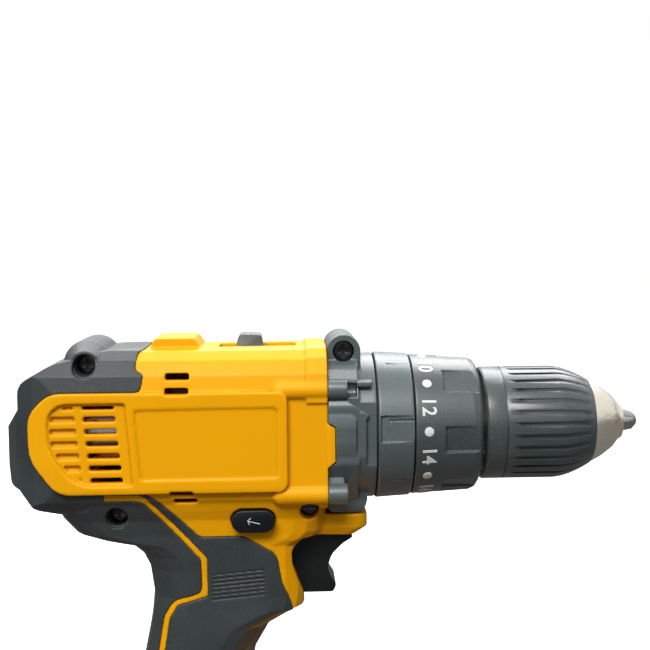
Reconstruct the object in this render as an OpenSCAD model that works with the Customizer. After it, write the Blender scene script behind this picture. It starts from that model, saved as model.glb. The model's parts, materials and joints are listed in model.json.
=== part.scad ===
// Cordless drill: a pistol-grip drill driver with a two-speed planetary gearbox,
// a spring clutch, a keyless three-jaw chuck and a slide-on battery.
// +X points out of the chuck, +Z is up, and the origin is in the battery's base.
// Sub-parts are drawn from the drive axis: x counts forwards from the housing's
// front face and z counts upwards from the axis.

/* [Overall] */
// Height of the drive axis above the base
axis_height = 165; // [158:1:175]
// How far the housing's front face stands ahead of the origin
head_front_x = 32; // [26:1:38]
// Battery height, base to deck
battery_height = 37; // [35:0.5:40]

/* [Housing] */
// Half width of the head
head_half_w = 22; // [21.6:0.1:23]
// Height of the head's top above the drive axis
head_top = 26.6; // [26:0.1:28]
// Depth of the head's underside below the drive axis
head_drop = 23.6; // [23:0.1:24.5]
// Distance of the rear bumper behind the front face
head_length = 99.8; // [98:0.2:103]
// Height of the raised side panels
panel_height = 2; // [1:0.1:2.6]
// Half width of the grip
grip_half_w = 16.5; // [16:0.1:18]
// Wall of the shells
shell_wall = 2.6; // [2.3:0.1:3]
// Depth to which the rubber is let into the shells
rubber_depth = 1.4; // [0.9:0.1:1.6]
// Height of the rubber above the shells
rubber_proud = 0.4; // [0.2:0.1:0.8]
// Half width of the foot
foot_half_w = 31.5; // [30:0.5:34]
// Front edge of the foot
foot_front = 12; // [9:0.5:15]
// Rear edge of the foot, behind the front face
foot_back = 80; // [78:0.5:83]

/* [Vents] */
// Slots in each side
vent_count = 7; // [5:1:7]
// Distance between slots
vent_pitch = 3.75; // [3.4:0.05:3.9]
// Height of a slot
vent_gap = 1.7; // [1.2:0.1:2.2]
// Depth of the recess around the slots
vent_recess = 1.1; // [0.6:0.1:1.5]

/* [Motor] */
// Radius of the motor can
motor_r = 18; // [17:0.1:18.4]
// Length of the motor can
motor_len = 54; // [52:0.5:56]
// Wall of the motor can
can_wall = 1.4; // [1:0.1:1.8]
// Radius of the rotor
rotor_r = 11.6; // [10.5:0.1:12]
// Radius of the motor shaft
shaft_r = 1.6; // [1.5:0.05:1.8]

/* [Gears] */
// Gear module
gear_module = 0.65; // [0.62:0.01:0.66]
// Teeth of each sun gear
sun_teeth = 12; // [12:6:12]
// Teeth of each planet gear
planet_teeth = 18; // [18:6:18]
// Half of the play between meshing teeth
tooth_play = 0.06; // [0.05:0.01:0.09]
// Width of the planet gears
planet_w = 5.6; // [5:0.1:6]
// Radius of the planet pins
planet_pin_r = 1.5; // [1.3:0.1:1.7]
// Travel of the speed selector
shift_travel = 7; // [6:0.5:7.5]

/* [Gearbox] */
// Radius of the gearbox case inside the housing
case_r = 19.2; // [19:0.05:19.3]
// Wall of the gearbox case
case_wall = 1.4; // [1.2:0.1:1.5]
// Radius of the gearbox flange in front of the housing
flange_r = 23.2; // [22.8:0.1:23.6]
// Length of the gearbox flange
flange_len = 15; // [14.5:0.1:15.4]
// Radius of the clutch neck
neck_r = 14.6; // [14.2:0.1:15]
// Length of the clutch neck
neck_len = 34; // [33.5:0.1:34.2]
// Radius of the spindle
spindle_r = 6.35; // [6:0.05:6.8]

/* [Rings] */
// Rear radius of the mode ring
mode_r = 23.5; // [23.2:0.1:24]
// Length of the mode ring
mode_len = 11.1; // [10.5:0.1:11.4]
// Rear radius of the torque ring
torque_r = 22.5; // [22.2:0.1:23]
// Length of the torque ring
torque_len = 21.5; // [20.5:0.1:21.8]
// Number of finger recesses in the torque ring
torque_grips = 7; // [5:1:9]
// Depth of a finger recess
torque_grip_depth = 0.9; // [0.4:0.1:1.2]
// Torque screw's travel for one turn
torque_lead = 5.6; // [4:0.2:6]

/* [Chuck] */
// Radius of the chuck sleeve
sleeve_r = 18.1; // [17.8:0.1:18.6]
// Length of the chuck sleeve
sleeve_len = 35.4; // [34:0.1:36]
// Number of grip grooves round the sleeve
sleeve_grooves = 30; // [20:1:36]
// Width of a grip groove
groove_w = 1.3; // [0.8:0.1:1.6]
// Radius of a jaw
jaw_r = 3; // [2.8:0.05:3.1]
// Length of a jaw along its own axis
jaw_len = 26; // [25:0.1:26.6]
// Angle between a jaw and the drive axis
jaw_angle = 15; // [14.5:0.1:15.5]
// Length of jaw that shows when the chuck is closed
jaw_reach = 5.3; // [4.5:0.1:6]
// Largest shank that the chuck takes
chuck_capacity = 10; // [8:0.5:10]

/* [Controls] */
// Width of the trigger
trigger_w = 15; // [13:0.5:16]
// Travel of the trigger
trigger_travel = 6.5; // [5:0.1:7]
// Length of the direction button's face
direction_len = 13.4; // [12:0.1:14]
// Height of the direction button's face
direction_h = 7; // [6.5:0.1:8]
// Travel of the direction button to each side
direction_travel = 3; // [2:0.1:3.2]

/* [Battery] */
// Length of the battery
battery_len = 104; // [102:0.5:108]
// Half width of the battery
battery_half_w = 36; // [35.5:0.5:39]
// Wall of the battery case
battery_wall = 2.2; // [1.8:0.1:2.4]
// Cell diameter
cell_d = 18.4; // [18:0.1:18.6]
// Cell length
cell_len = 65; // [64:0.5:65.5]
// Number of cells in the row
cell_count = 5; // [4:1:5]
// Half width of the rail that the battery slides on
rail_half_w = 20; // [18:0.5:21]

/* [Fits] */
// Radial play of running parts
play = 0.06; // [0.03:0.01:0.1]
// Gap between parts that pass each other
gap = 0.3; // [0.25:0.05:0.4]

/* [Hidden] */
$fn = 64;

// colours
yellow = [1, 0.72, 0.02];
rubber = [0.16, 0.17, 0.18];
plastic = [0.12, 0.125, 0.13];
steel = [0.68, 0.69, 0.7];
nose_metal = [0.8, 0.76, 0.68];
copper = [0.8, 0.45, 0.25];
brass = [0.85, 0.68, 0.35];

// small allowances
cut = 1;            // how far a cutter runs past the face it opens
sliver = 0.01;      // keeps faces from lying on each other
arc_steps = 4;      // flats in a rounded corner of an outline
round_steps = 40;   // sides of the round holes in the shells

// head
deck_z = battery_height - axis_height;      // battery deck
foot_bottom = deck_z + 0.6;
rear_step = head_length - 94.2;             // how far the bumper stands behind the cap

// side view of the head: x, z, corner radius
head_side = [[0, head_top, 0.8], [-66, head_top - 0.4, 12], [-84, head_top - 4.7, 12],
    [-94.3, 16, 5], [-94.2, 8.5, 1.5], [-head_length, 1, 2], [2.1 - head_length, -15, 2],
    [5.2 - head_length, -15.6, 1], [-89.4, -21.5, 5], [-82, -head_drop, 4],
    [0, -head_drop, 0.8]];
head_corner = 13;
head_low_corner = 9;
tail_corner = 17;

// grip and foot, from the head down: z, rear x, front x, half width
foot_top = foot_bottom + 13;
foot_flare = foot_top + 5;
grip_stations = [
    [-13, -78, -0.3, head_half_w - 0.8, 12],
    [-20, -82, -0.3, head_half_w - 1.4, 11],
    [-23.2, -84.2, -0.3, grip_half_w + 3, 10],
    [-26.4, -82.6, -0.3, grip_half_w + 1.6, 10],
    [-31.2, -78.8, -0.3, grip_half_w + 0.8, 11],
    [-33.4, -72, -2, grip_half_w + 0.7, 12],
    [-35.2, -62.4, -6, grip_half_w + 0.6, 12],
    [-38.4, -58.5, -6, grip_half_w + 0.4, 12],
    [-43, -56.3, -6, grip_half_w, 12],
    [-51.8, -55.1, -6, grip_half_w - 0.4, 12],
    [-56.1, -55.4, -7.2, grip_half_w - 0.3, 11],
    [-57.9, -55.6, -11.5, grip_half_w - 0.2, 11],
    [-61.9, -56.3, -18.4, grip_half_w, 12],
    [-71, -58.2, -23.6, grip_half_w + 0.2, 13],
    [-88, -61.8, -27, grip_half_w + 0.3, 13],
    [foot_flare + 6, -65.4, -27.5, grip_half_w + 0.6, 13],
    [foot_flare, -69, -23, grip_half_w + 3.5, 12],
    [foot_top, -foot_back, foot_front - 1, foot_half_w - 1.6, 11],
    [foot_top - 2.5, -foot_back - 0.4, foot_front, foot_half_w, 11],
    [foot_bottom, -foot_back - 0.4, foot_front, foot_half_w, 11]];

// chin that carries the lamp
chin_front = 12.8;
chin_top = -26.9;
chin_bottom = -34.6;
chin_half_w = 11.5;

// opening in front of the grip in which the trigger sits
trigger_gap = [[40, chin_bottom, 0], [-8.2, chin_bottom + 1.2, 3], [-11.5, -37.4, 4],
    [-11.2, -42, 8], [-9.5, -47.4, 8], [-7.8, -51.6, 6], [-7.4, -56.2, 1], [40, -56.2, 0]];

// yellow side panel and the rubber's edge, as seen from the side
side_panel = [[-12.4, 13.8, 3], [-12.4, -16.9, 3], [-82, -16.9, 9], [-90.6, -6, 12],
    [-90.9, 7.5, 9], [-84, 14, 8]];
rubber_edge = [[-54.7, 45, 0], [-54.7, 27.3, 1], [-58.2, 25.4, 2.5], [-58.4, 20.5, 1.5],
    [-56, 19.2, 0.8], [-56.8, 14, 2], [-84, 14, 8], [-90.9, 7.5, 9], [-90.6, -6, 12],
    [-82, -16.9, 9], [-56.6, -16.9, 3], [-52.4, -19.4, 5], [-39.9, -31.9, 3],
    [-26.6, -31.8, 5], [-16.2, -37.8, 5], [-14.6, -47.2, 15], [-11.9, -53.4, 6],
    [-10.6, -58.8, 0.5], [15, -60.5, 0], [15, foot_flare + 5, 0],
    [-85, foot_flare + 5, 0], [-125, -70, 0], [-125, 45, 0]];
stripe_w = 1.9;
stripe = [[-68.6, -19.3, 0], [-57.4, -19.4, 6], [-39.6, -39.2, 3], [-39.5, -49.6, 2.5],
    [-48.4, -52.2, 5], [-51.6, -57.6, 6], [-54.4, -74, 20], [-57.2, -82, 8],
    [-60, foot_flare + 4, 0]];

// label field and vents
label_field = [[-15, 9.2, 1.5], [-15, -12.6, 1.5], [-57.2, -12.8, 1.5], [-59, 9.1, 1.5]];
label_depth = 0.45;
vent_top = 9.9;
vent_field = [[-61.2, 11, 1], [-59.2, -14.2, 1], [-77, -14.2, 10], [-84.6, -3, 12],
    [-85.2, 11, 9]];
vent_front = -64.6;
vent_post = -74.4;
vent_post_w = 2.4;
vent_slant = 0.1;          // how far each lower slot steps forwards, per mm of drop
small_vents = [[-45.7, 18.5, 7.3, 1.05], [-45.9, 14.2, 7.3, 1], [-44.8, -17, 7.3, 0.7],
    [-43.7, -19.6, 7.3, 0.7]];

// screw places: x, z, and how deep the head sits in the right shell
screw_r = 1.45;
screw_head_r = 2.8;
screw_spots = [[-74, 21.8], [-65, -25], [-5.7, -24.1], [-41, -74],
    [-48, foot_flare - 2.4], [-24, foot_flare - 2.4], [-73.5, foot_bottom + 7]];
screw_well_r = 3.1;
screw_head_y = -9.5;
screw_tip_y = 9;
boss_r = 4.4;

// side bosses that take the screws of the gearbox flange: y, z
front_boss_r = 3.2;
front_bosses = [[20.3, 13.9], [20.3, -18.4]];
front_boss_len = 14.5;
front_boss_cap = 6;
boss_head_r = 2.2;
boss_head_h = 1.4;

// motor
motor_front = -24;
motor_back = motor_front - motor_len;
bell_len = 5.5;
magnet_in = rotor_r + 0.5;
core_front = motor_front - 15;
core_len = 27;
core_back = core_front - core_len;
fan_front = motor_front - 4;
fan_len = 6;
comm_r = 5.4;
comm_len = 9;
comm_front = core_back - 3.4;
brush_x = comm_front - comm_len / 2;
bearing_boss_r = 6.4;

// gears
ring_teeth = sun_teeth + 2 * planet_teeth;
pressure = 25;
tip_share = 0.85;           // addendum and dedendum as shares of the module
root_share = 1.2;
pinion_front = -8.6;
first_planet_x = pinion_front - 0.8 - planet_w;
carrier_r = gear_module * (sun_teeth + planet_teeth) / 2;
ring_root_r = gear_module * (ring_teeth / 2 + root_share);
ring_r = case_r - case_wall - gap;
carrier_back = pinion_front + 0.4;
carrier_plate = 3;
shift_front = carrier_back - 0.15;
shift_len = shift_travel + 4.7;
motor_plate_w = 2.6;
case_back = motor_front + motor_plate_w + 0.01;
ring_gear_back = shift_front + shift_travel + gap;
ring_gear_len = planet_w + 2.2;
second_planet_x = ring_gear_back + 0.3;
spindle_back = second_planet_x + planet_w + 0.25;
spindle_flange = 3;
spindle_flange_r = carrier_r + planet_pin_r + 2;

// case front wall, clutch and hammer plates
wall_back = ring_gear_back + ring_gear_len + 1.8;
pin_ring_r = 16.2;
clutch_pin_r = 1.4;
clutch_pins_n = 6;
neck_bore_r = 12.9;
collar_r = 20.1;
collar_len = 3;
neck_front = flange_len + neck_len;
ratchet_w = 3;
bearing_w = 9;
plate_w = 1.5;
clutch_plate_x = flange_len + gap;
nut_len = 4.6;
nut_x = flange_len + 17.2;
wire_r = 1.1;
spring_turns = 4;

// rings
mode_back = flange_len + 0.5;
mode_front = mode_back + mode_len;
torque_back = mode_front + 0.4;
torque_front = torque_back + torque_len;
torque_taper = 1;
ring_wall = 3.2;
key_depth = 0.6;
lip_back = 3;
lip_front = 1.2;
clip_w = 0.8;
clip_x = torque_front - lip_front + 0.2;

// chuck
sleeve_back = neck_front + 0.8;
sleeve_front = sleeve_back + sleeve_len;
nose_back = sleeve_front + 0.1;
nose_front = nose_back + 10.9;
jaw_tip = nose_front + jaw_reach;
tip_off = jaw_r - 2.4;              // how far a jaw's own axis crosses the drive axis
jaw_travel = chuck_capacity / 2 / sin(jaw_angle);
sleeve_in = sleeve_r - 2.3;
nut_back = sleeve_front - 8.7;
nut_front = nut_back + 5.5;
nut_r = 12.9;
body_r = 12.9;
chuck_bore_r = chuck_capacity / 2 + 0.3;
socket_len = 12.6;
spindle_front = sleeve_back + socket_len;

// battery
battery_back = -84;
battery_front = battery_back + battery_len;
battery_mid = (battery_back + battery_front) / 2;
lid_len = 5;
rail_z = foot_bottom + 2.8;
rail_lip = 3.6;
rail_top = foot_bottom + 8.6;
rail_back = -66;
rail_front = 6;

// ---------- outlines ----------
function unit(v) = v / norm(v);
function cross_of(a, b) = a.x * b.y - a.y * b.x;
function xy(c) = [c.x, c.y];

// points of one rounded corner between its neighbours
function corner(p, v, q, r, steps) =
    let (a = unit(p - v), b = unit(q - v), half = acos(max(-1, min(1, a * b))) / 2)
    r < 0.02 || half > 89.4 ? [v] :
    let (t = min(r / tan(half), 0.47 * min(norm(p - v), norm(q - v))),
        rr = t * tan(half), c = v + unit(a + b) * rr / sin(half),
        s = v + a * t - c, sweep = (180 - 2 * half) * sign(cross_of(s, v + b * t - c)))
    [for (i = [0:steps]) let (w = i * sweep / steps)
        c + [s.x * cos(w) - s.y * sin(w), s.x * sin(w) + s.y * cos(w)]];

// an outline from corners given as x, y, radius
function outline(cs, steps = arc_steps) = let (n = len(cs))
    [for (i = [0:n - 1])
        each corner(xy(cs[(i + n - 1) % n]), xy(cs[i]), xy(cs[(i + 1) % n]), cs[i][2], steps)];

// the same corners moved outwards by d; the corners run anticlockwise
function grown(cs, d) = let (n = len(cs))
    [for (i = [0:n - 1]) let (v = xy(cs[i]), e = unit(v - xy(cs[(i + n - 1) % n])),
            f = unit(xy(cs[(i + 1) % n]) - v), k = [e.y + f.y, -e.x - f.x],
            w = v + k * d / (1 + e * f), bend = cross_of(e, f) > 0 ? 1 : -1)
        [w.x, w.y, cs[i][2] <= 0 ? 0 : max(0.05, cs[i][2] + bend * d)]];

// a band of width w on the left of an open run of corners
function band(cs, w) = let (n = len(cs))
    concat(cs, [for (i = [n - 1:-1:0]) let (v = xy(cs[i]),
            e = unit(i > 0 ? v - xy(cs[i - 1]) : xy(cs[1]) - v),
            f = unit(i < n - 1 ? xy(cs[i + 1]) - v : v - xy(cs[n - 2])),
            k = [-e.y - f.y, e.x + f.x], p = v + k * w / (1 + e * f))
        [p.x, p.y, cs[i][2] <= 0 ? 0 : max(0.3, cs[i][2] - w)]]);

// ---------- shared shapes ----------
module on_axis() {
    translate([head_front_x, 0, axis_height]) children();
}

module side_slab(points, y0, y1) {
    translate([0, y1, 0]) rotate([90, 0, 0]) linear_extrude(y1 - y0) polygon(points);
}

module front_slab(points, x0, x1) {
    translate([x0, 0, 0]) rotate([90, 0, 90]) linear_extrude(x1 - x0) polygon(points);
}

module top_slab(points, z0, z1) {
    translate([0, 0, z0]) linear_extrude(z1 - z0) polygon(points);
}

module box(x0, x1, y0, y1, z0, z1) {
    translate([x0, y0, z0]) cube([x1 - x0, y1 - y0, z1 - z0]);
}

module rod(x0, x1, r) {
    translate([x0, 0, 0]) rotate([0, 90, 0]) cylinder(h = x1 - x0, r = r);
}

module cone(x0, x1, r0, r1) {
    translate([x0, 0, 0]) rotate([0, 90, 0]) cylinder(h = x1 - x0, r1 = r0, r2 = r1);
}

module tube(x0, x1, r_out, r_in) {
    difference() {
        rod(x0, x1, r_out);
        rod(x0 - cut, x1 + cut, r_in);
    }
}

module cross_rod(x, z, y0, y1, r) {
    translate([x, y1, z]) rotate([90, 0, 0]) cylinder(h = y1 - y0, r = r);
}

// a turned solid about the drive axis from points given as x, radius
module turned(points) {
    rotate([0, 90, 0]) rotate_extrude() polygon([for (p = points) [p.y, p.x]]);
}

// copies turned about the drive axis, starting straight up
module around(n, start = 0) {
    for (i = [0:n - 1]) rotate([start + i * 360 / n, 0, 0]) children();
}

function plate_corners(x0, x1, hw, r) = [[x0, -hw, r], [x1, -hw, r], [x1, hw, r], [x0, hw, r]];

module round_plate(x0, x1, hw, r, z0, z1) {
    top_slab(outline(plate_corners(x0, x1, hw, r)), z0, z1);
}

// ---------- gears ----------
function inv(a) = tan(a) * 180 / PI - a;

// one flank's points from root to tip; shift widens the tooth when positive
function flank(n, tip, root, shift) =
    let (rp = gear_module * n / 2, rb = rp * cos(pressure),
        half = 90 / n + shift / rp * 180 / PI + inv(pressure), r0 = max(root, rb + 0.005))
    concat([[root, half - inv(acos(rb / r0))]],
        [for (i = [0:3]) let (r = r0 + (tip - r0) * i / 3) [r, half - inv(acos(rb / r))]]);

function gear_points(n, tip, root, shift) =
    let (f = flank(n, tip, root, shift), last = len(f) - 1)
    [for (t = [0:n - 1]) let (a = 360 * t / n)
        each concat([for (p = f) p[0] * [cos(a - p[1]), sin(a - p[1])]],
            [for (i = [last:-1:0]) f[i][0] * [cos(a + f[i][1]), sin(a + f[i][1])]])];

function outer_gear(n) = gear_points(n, gear_module * (n / 2 + tip_share),
    gear_module * (n / 2 - root_share), -tooth_play);

function inner_gear(n) = gear_points(n, gear_module * (n / 2 + root_share),
    gear_module * (n / 2 - tip_share), tooth_play);

module gear(x0, x1, n, half_tooth = 0) {
    rotate([half_tooth * 180 / n, 0, 0]) front_slab(outer_gear(n), x0, x1);
}

module planet(x0, place) {
    rotate([place * 120, 0, 0]) translate([0, carrier_r, 0])
        difference() {
            gear(x0, x0 + planet_w, planet_teeth, 1);
            rod(x0 - cut, x0 + planet_w + cut, planet_pin_r + play);
        }
}

module planet_pins(x0, x1) {
    around(3) translate([0, carrier_r, 0]) rod(x0, x1, planet_pin_r);
}

// a toothed ring whose teeth mesh with the planets
module toothed_ring(x0, x1) {
    difference() {
        rod(x0, x1, ring_r);
        rotate([180 / ring_teeth, 0, 0]) front_slab(inner_gear(ring_teeth), x0 - cut, x1 + cut);
    }
}

// ---------- housing ----------
// radius of a many-sided hole that just clears a round part of radius r
function snug(r, sides = round_steps) = r / cos(180 / sides) + sliver;

// hidden surfaces are drawn with fewer flats than the outside
function flats(g) = g < -2 ? 2 : g < 0 ? 3 : arc_steps;

module head_form(g) {
    n = flats(g);
    intersection() {
        side_slab(outline(grown(head_side, g), g < 0 ? 2 : 3), -head_half_w - 9, head_half_w + 9);
        front_slab(outline(grown([[-head_half_w, -head_drop - 1.2, head_low_corner],
            [head_half_w, -head_drop - 1.2, head_low_corner],
            [head_half_w, head_top + 0.2, head_corner],
            [-head_half_w, head_top + 0.2, head_corner]], g), n), -head_length - 9, 9);
        top_slab(outline(grown([[-head_length, -head_half_w, tail_corner],
            [9, -head_half_w, 0], [9, head_half_w, 0],
            [-head_length, head_half_w, tail_corner]], g), n), -60, 60);
    }
}

module station(s, g) {
    translate([0, 0, s[0]]) linear_extrude(sliver)
        polygon(outline(plate_corners(s[1] - g, s[2] + g, s[3] + g, max(1, s[4] + g)), flats(g)));
}

module grip_form(g) {
    used = [for (i = [0:len(grip_stations) - 1])
        if (g > -2 || i % 2 == 0 || i > 13) grip_stations[i]];
    for (i = [0:len(used) - 2]) hull() {
        station(used[i], g);
        station(used[i + 1], g);
    }
}

// rounded lump on the head's top that holds the upper rear screw
module top_lump(g) {
    r = 7.1 + g;
    spot = screw_spots[0];
    cross_rod(spot.x, spot.y, -11, 11, r, $fn = 28);
    for (side = [-1, 1]) translate([spot.x, side * 11, spot.y]) rotate([-side * 90, 0, 0])
        cylinder(h = 6.5 + g, r1 = r, r2 = r - 3, $fn = 28);
}

module chin_form(g) {
    hull() {
        round_plate(-10, chin_front + g, chin_half_w + g, 4, chin_bottom + 3.4, chin_top);
        round_plate(-8, chin_front - 5.2 + g, chin_half_w - 1.6 + g, 3, chin_bottom - g, chin_top);
    }
}

// the whole body of the tool, moved outwards by g
module body_form(g) {
    difference() {
        union() {
            head_form(g);
            grip_form(g);
            top_lump(g);
            chin_form(g);
        }
        side_slab(outline(grown(trigger_gap, g)), -40, 40);
        box(sliver, 60, -60, 60, chin_top - g, 60);
    }
}

// raised side panels, top block and collar, and the bosses for the flange's screws
module raised_details() {
    intersection() {
        head_form(panel_height);
        side_slab(outline(grown([for (i = [5:-1:0]) side_panel[i]], 0)), -60, 60);
        union() {
            box(-120, 20, head_half_w - 6, 60, -60, 60);
            box(-120, 20, -60, 6 - head_half_w, -60, 60);
        }
    }
    side_slab(outline([[-38.4, head_top - 1, 0.5], [-41, head_top + 2.9, 1.5],
        [-53.4, head_top + 2.9, 1.2], [-54.7, head_top, 0.5], [-54.7, head_top - 6, 0],
        [-38.4, head_top - 6, 0]]), -11, 11);
    intersection() {
        head_form(0.7);
        box(-6.4, 0, -60, 60, 10, 60);
    }
    for (side = [-1, 1])
        side_slab([[0, 3.6], [2.2, 2.4], [2.2, -8.3], [0, -9.9]],
            side > 0 ? head_half_w - 2.2 : -head_half_w - 0.4,
            side > 0 ? head_half_w + 0.4 : 2.2 - head_half_w);
}

module front_boss_rods() {
    for (side = [-1, 1]) for (b = front_bosses) translate([0, side * b.x, b.y]) {
        rod(-front_boss_len, 0, front_boss_r, $fn = 20);
        translate([-front_boss_len, 0, 0]) sphere(r = front_boss_r, $fn = 12);
    }
}

module front_boss_holes(r, x0, x1) {
    for (side = [-1, 1]) for (b = front_bosses) translate([0, side * b.x, b.y])
        rod(x0, x1, r);
}

module rubber_area() {
    difference() {
        side_slab(outline(rubber_edge), -60, 60);
        side_slab(outline(band(stripe, stripe_w)), -60, 60);
    }
}

module screw_wells(r, y0) {
    for (s = screw_spots) cross_rod(s.x, s.y, -60, y0, r, $fn = r > 2 ? 18 : 12);
}

module vents() {
    intersection() {
        side_slab(outline(grown([for (i = [4:-1:0]) vent_field[i]], -0.8)), -60, 60);
        for (i = [0:vent_count - 1]) let (z = vent_top - i * vent_pitch) {
            translate([(vent_top - z) * vent_slant, 0, z - vent_gap / 2]) {
                box(vent_post, vent_front, -60, 60, 0, vent_gap);
                for (side = [-1, 1])
                    box(-95, vent_post - vent_post_w,
                        side > 0 ? head_half_w + panel_height - vent_recess - 1 : -60,
                        side > 0 ? 60 : vent_recess + 1 - panel_height - head_half_w, 0, vent_gap);
            }
        }
    }
    for (v = small_vents) box(v.x - v[2] / 2, v.x + v[2] / 2, -60, 60, v.y - v[3], v.y + v[3]);
}

module face_recesses() {
    for (side = [-1, 1]) {
        face = head_half_w + panel_height;
        side_slab(outline([for (i = [3:-1:0]) label_field[i]]),
            side > 0 ? face - label_depth : -60, side > 0 ? 60 : label_depth - face);
        side_slab(outline([for (i = [4:-1:0]) vent_field[i]]),
            side > 0 ? face - vent_recess : -60, side > 0 ? 60 : vent_recess - face);
    }
}

// room inside the shells
module cavity() {
    difference() {
        body_form(-shell_wall);
        box(-120, 60, -60, 60, foot_bottom - 9, foot_bottom + 2.2);
        box(rail_back - 3, 60, -rail_half_w - 2.8, rail_half_w + 2.8,
            foot_bottom - 9, rail_top + 2.4);
    }
}

// channel that the battery's rail slides in
module rail_channel() {
    box(rail_back, 60, -rail_half_w - gap, rail_half_w + gap, rail_z, rail_top + gap);
    box(rail_back, 60, rail_lip - rail_half_w - gap, rail_half_w - rail_lip + gap,
        foot_bottom - 9, rail_z + sliver);
}

module control_openings() {
    half = trigger_w / 2 + gap + 0.1;
    box(-24, 40, -half, half, -53.6, chin_bottom + 0.1);
    translate([-23.2, 0, -26.5]) rotate([90, 0, 0]) linear_extrude(120, center = true)
        stadium(direction_len + 2 * gap, direction_h + 2 * gap);
    for (top = [head_top - 1.1, head_top + 9]) box(
        top > head_top ? window_back : selector_back - gap,
        top > head_top ? selector_front : selector_front + shift_travel + gap,
        -selector_half_w - gap, selector_half_w + gap, head_top - 6, top);
    translate([lamp_x, 0, lamp_z]) rod(-4, 9, lamp_r, $fn = 24);
}

module stadium(length, height) {
    square([length - height, height], center = true);
    for (side = [-1, 1]) translate([side * (length - height) / 2, 0]) circle(d = height);
}

// ribs that hold the gearbox and the motor inside the shells
module inner_ribs() {
    intersection() {
        body_form(-shell_wall + 0.3);
        union() {
            for (x = [-17, -6]) rod(x, x + 1.8, 40, $fn = 4);
            for (x = [motor_front - 6, motor_back + 6]) rod(x, x + 1.8, 40, $fn = 4);
        }
        difference() {
            box(-100, 0, -60, 60, -head_drop, head_top);
            box(-100, 0, -selector_half_w - 2, selector_half_w + 2, 0, 60);
        }
    }
}

module screw_bosses() {
    intersection() {
        body_form(-0.6);
        union() {
            for (s = screw_spots) cross_rod(s.x, s.y, -60, 60, boss_r, $fn = 16);
            for (side = [-1, 1]) cross_rod(hook_x, hook_z, side > 0 ? 24 : -60,
                side > 0 ? 60 : -24, boss_r, $fn = 16);
        }
    }
}

module shell_form() {
    difference() {
        union() {
            difference() {
                union() {
                    body_form(0);
                    raised_details();
                }
                cavity();
            }
            screw_bosses();
            inner_ribs();
            front_boss_rods();
        }
        front_boss_holes(snug(screw_r, 12), -10.5, cut, $fn = 12);
        difference() {
            rubber_area();
            body_form(-rubber_depth);
        }
        face_recesses();
        vents();
        rail_channel();
        control_openings();
        screw_wells(snug(screw_r, 12), screw_tip_y + 1);
        screw_wells(screw_well_r, screw_head_y);
        rod(-22, 9, snug(case_r), $fn = round_steps);
        rod(motor_back - bell_len - 0.5, motor_front + 1, snug(motor_r), $fn = round_steps);
        hook_holes(snug(3, 20));
        box(-30, -24, -8, 8, -60, -35);
    }
}

module right_shell() {
    color(yellow) on_axis() intersection() {
        shell_form();
        box(-150, 60, -60, -sliver, -200, 60);
    }
}

module left_shell() {
    color(yellow) on_axis() intersection() {
        shell_form();
        box(-150, 60, sliver, 60, -200, 60);
    }
}

// grip lines moulded into the rubber
module grip_ribs() {
    for (i = [0:6]) translate([-28, 0, -47.3 + (i - 3) * 1.32]) rotate([0, -5, 0])
        box(-8.2, 8.2, -60, 60, -0.3, 0.3);
}

module overmold_form() {
    difference() {
        intersection() {
            difference() {
                body_form(rubber_proud);
                body_form(-rubber_depth);
            }
            rubber_area();
        }
        screw_wells(screw_well_r + 0.4, 0);
        difference() {
            grip_ribs();
            body_form(rubber_proud - 0.35);
        }
    }
}

module right_overmold() {
    color(rubber) on_axis() intersection() {
        overmold_form();
        box(-150, 60, -60, -sliver, -200, 60);
    }
}

module left_overmold() {
    color(rubber) on_axis() intersection() {
        overmold_form();
        box(-150, 60, sliver, 60, -200, 60);
    }
}

// a pan-head screw with a cross recess, its head at the origin and its tip along +X
module cross_screw(length, r, head_r, head_h) {
    difference() {
        union() {
            rod(0, length, r);
            rod(-head_h, sliver, head_r);
        }
        for (a = [0, 90]) rotate([a, 0, 0])
            box(-head_h - cut, 0.5 - head_h / 2, -head_r * 0.62, head_r * 0.62,
                -head_r * 0.14, head_r * 0.14);
    }
}

module shell_screws() {
    color(steel * 0.6) on_axis() for (s = screw_spots)
        translate([s.x, screw_head_y - sliver, s.y]) rotate([0, 0, 90])
            cross_screw(screw_tip_y - screw_head_y, screw_r, screw_head_r, 2);
}

// ---------- gearbox ----------
module flange_form() {
    half = flange_r - 1;
    front_slab(outline([[-half, -9, 3], [-12, -flange_r - 0.4, 7], [12, -flange_r - 0.4, 7],
        [half, -9, 3], [half, 9, 3], [16, 20.5, 4], [9, flange_r + 1.2, 4],
        [-9, flange_r + 1.2, 4], [-16, 20.5, 4], [-half, 9, 3]]), 0.05, 9.6);
    rod(0.05, flange_len, flange_r);
    intersection() {
        front_slab(outline([[-12, -26.5, 2], [12, -26.5, 2], [14, -15, 0], [-14, -15, 0]]), 0.05, 12.6);
        side_slab(outline([[0, -10, 0], [12.6, -10, 0], [12.6, -26.5, 4.5], [0, -26.5, 3]]), -15, 15);
    }
    // ledges between the upper bosses and the collar
    for (side = [-1, 1]) box(0.05, 13.6, side > 0 ? 14 : -20.2, side > 0 ? 20.2 : -14, 14.6, 16.2);
}

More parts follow.
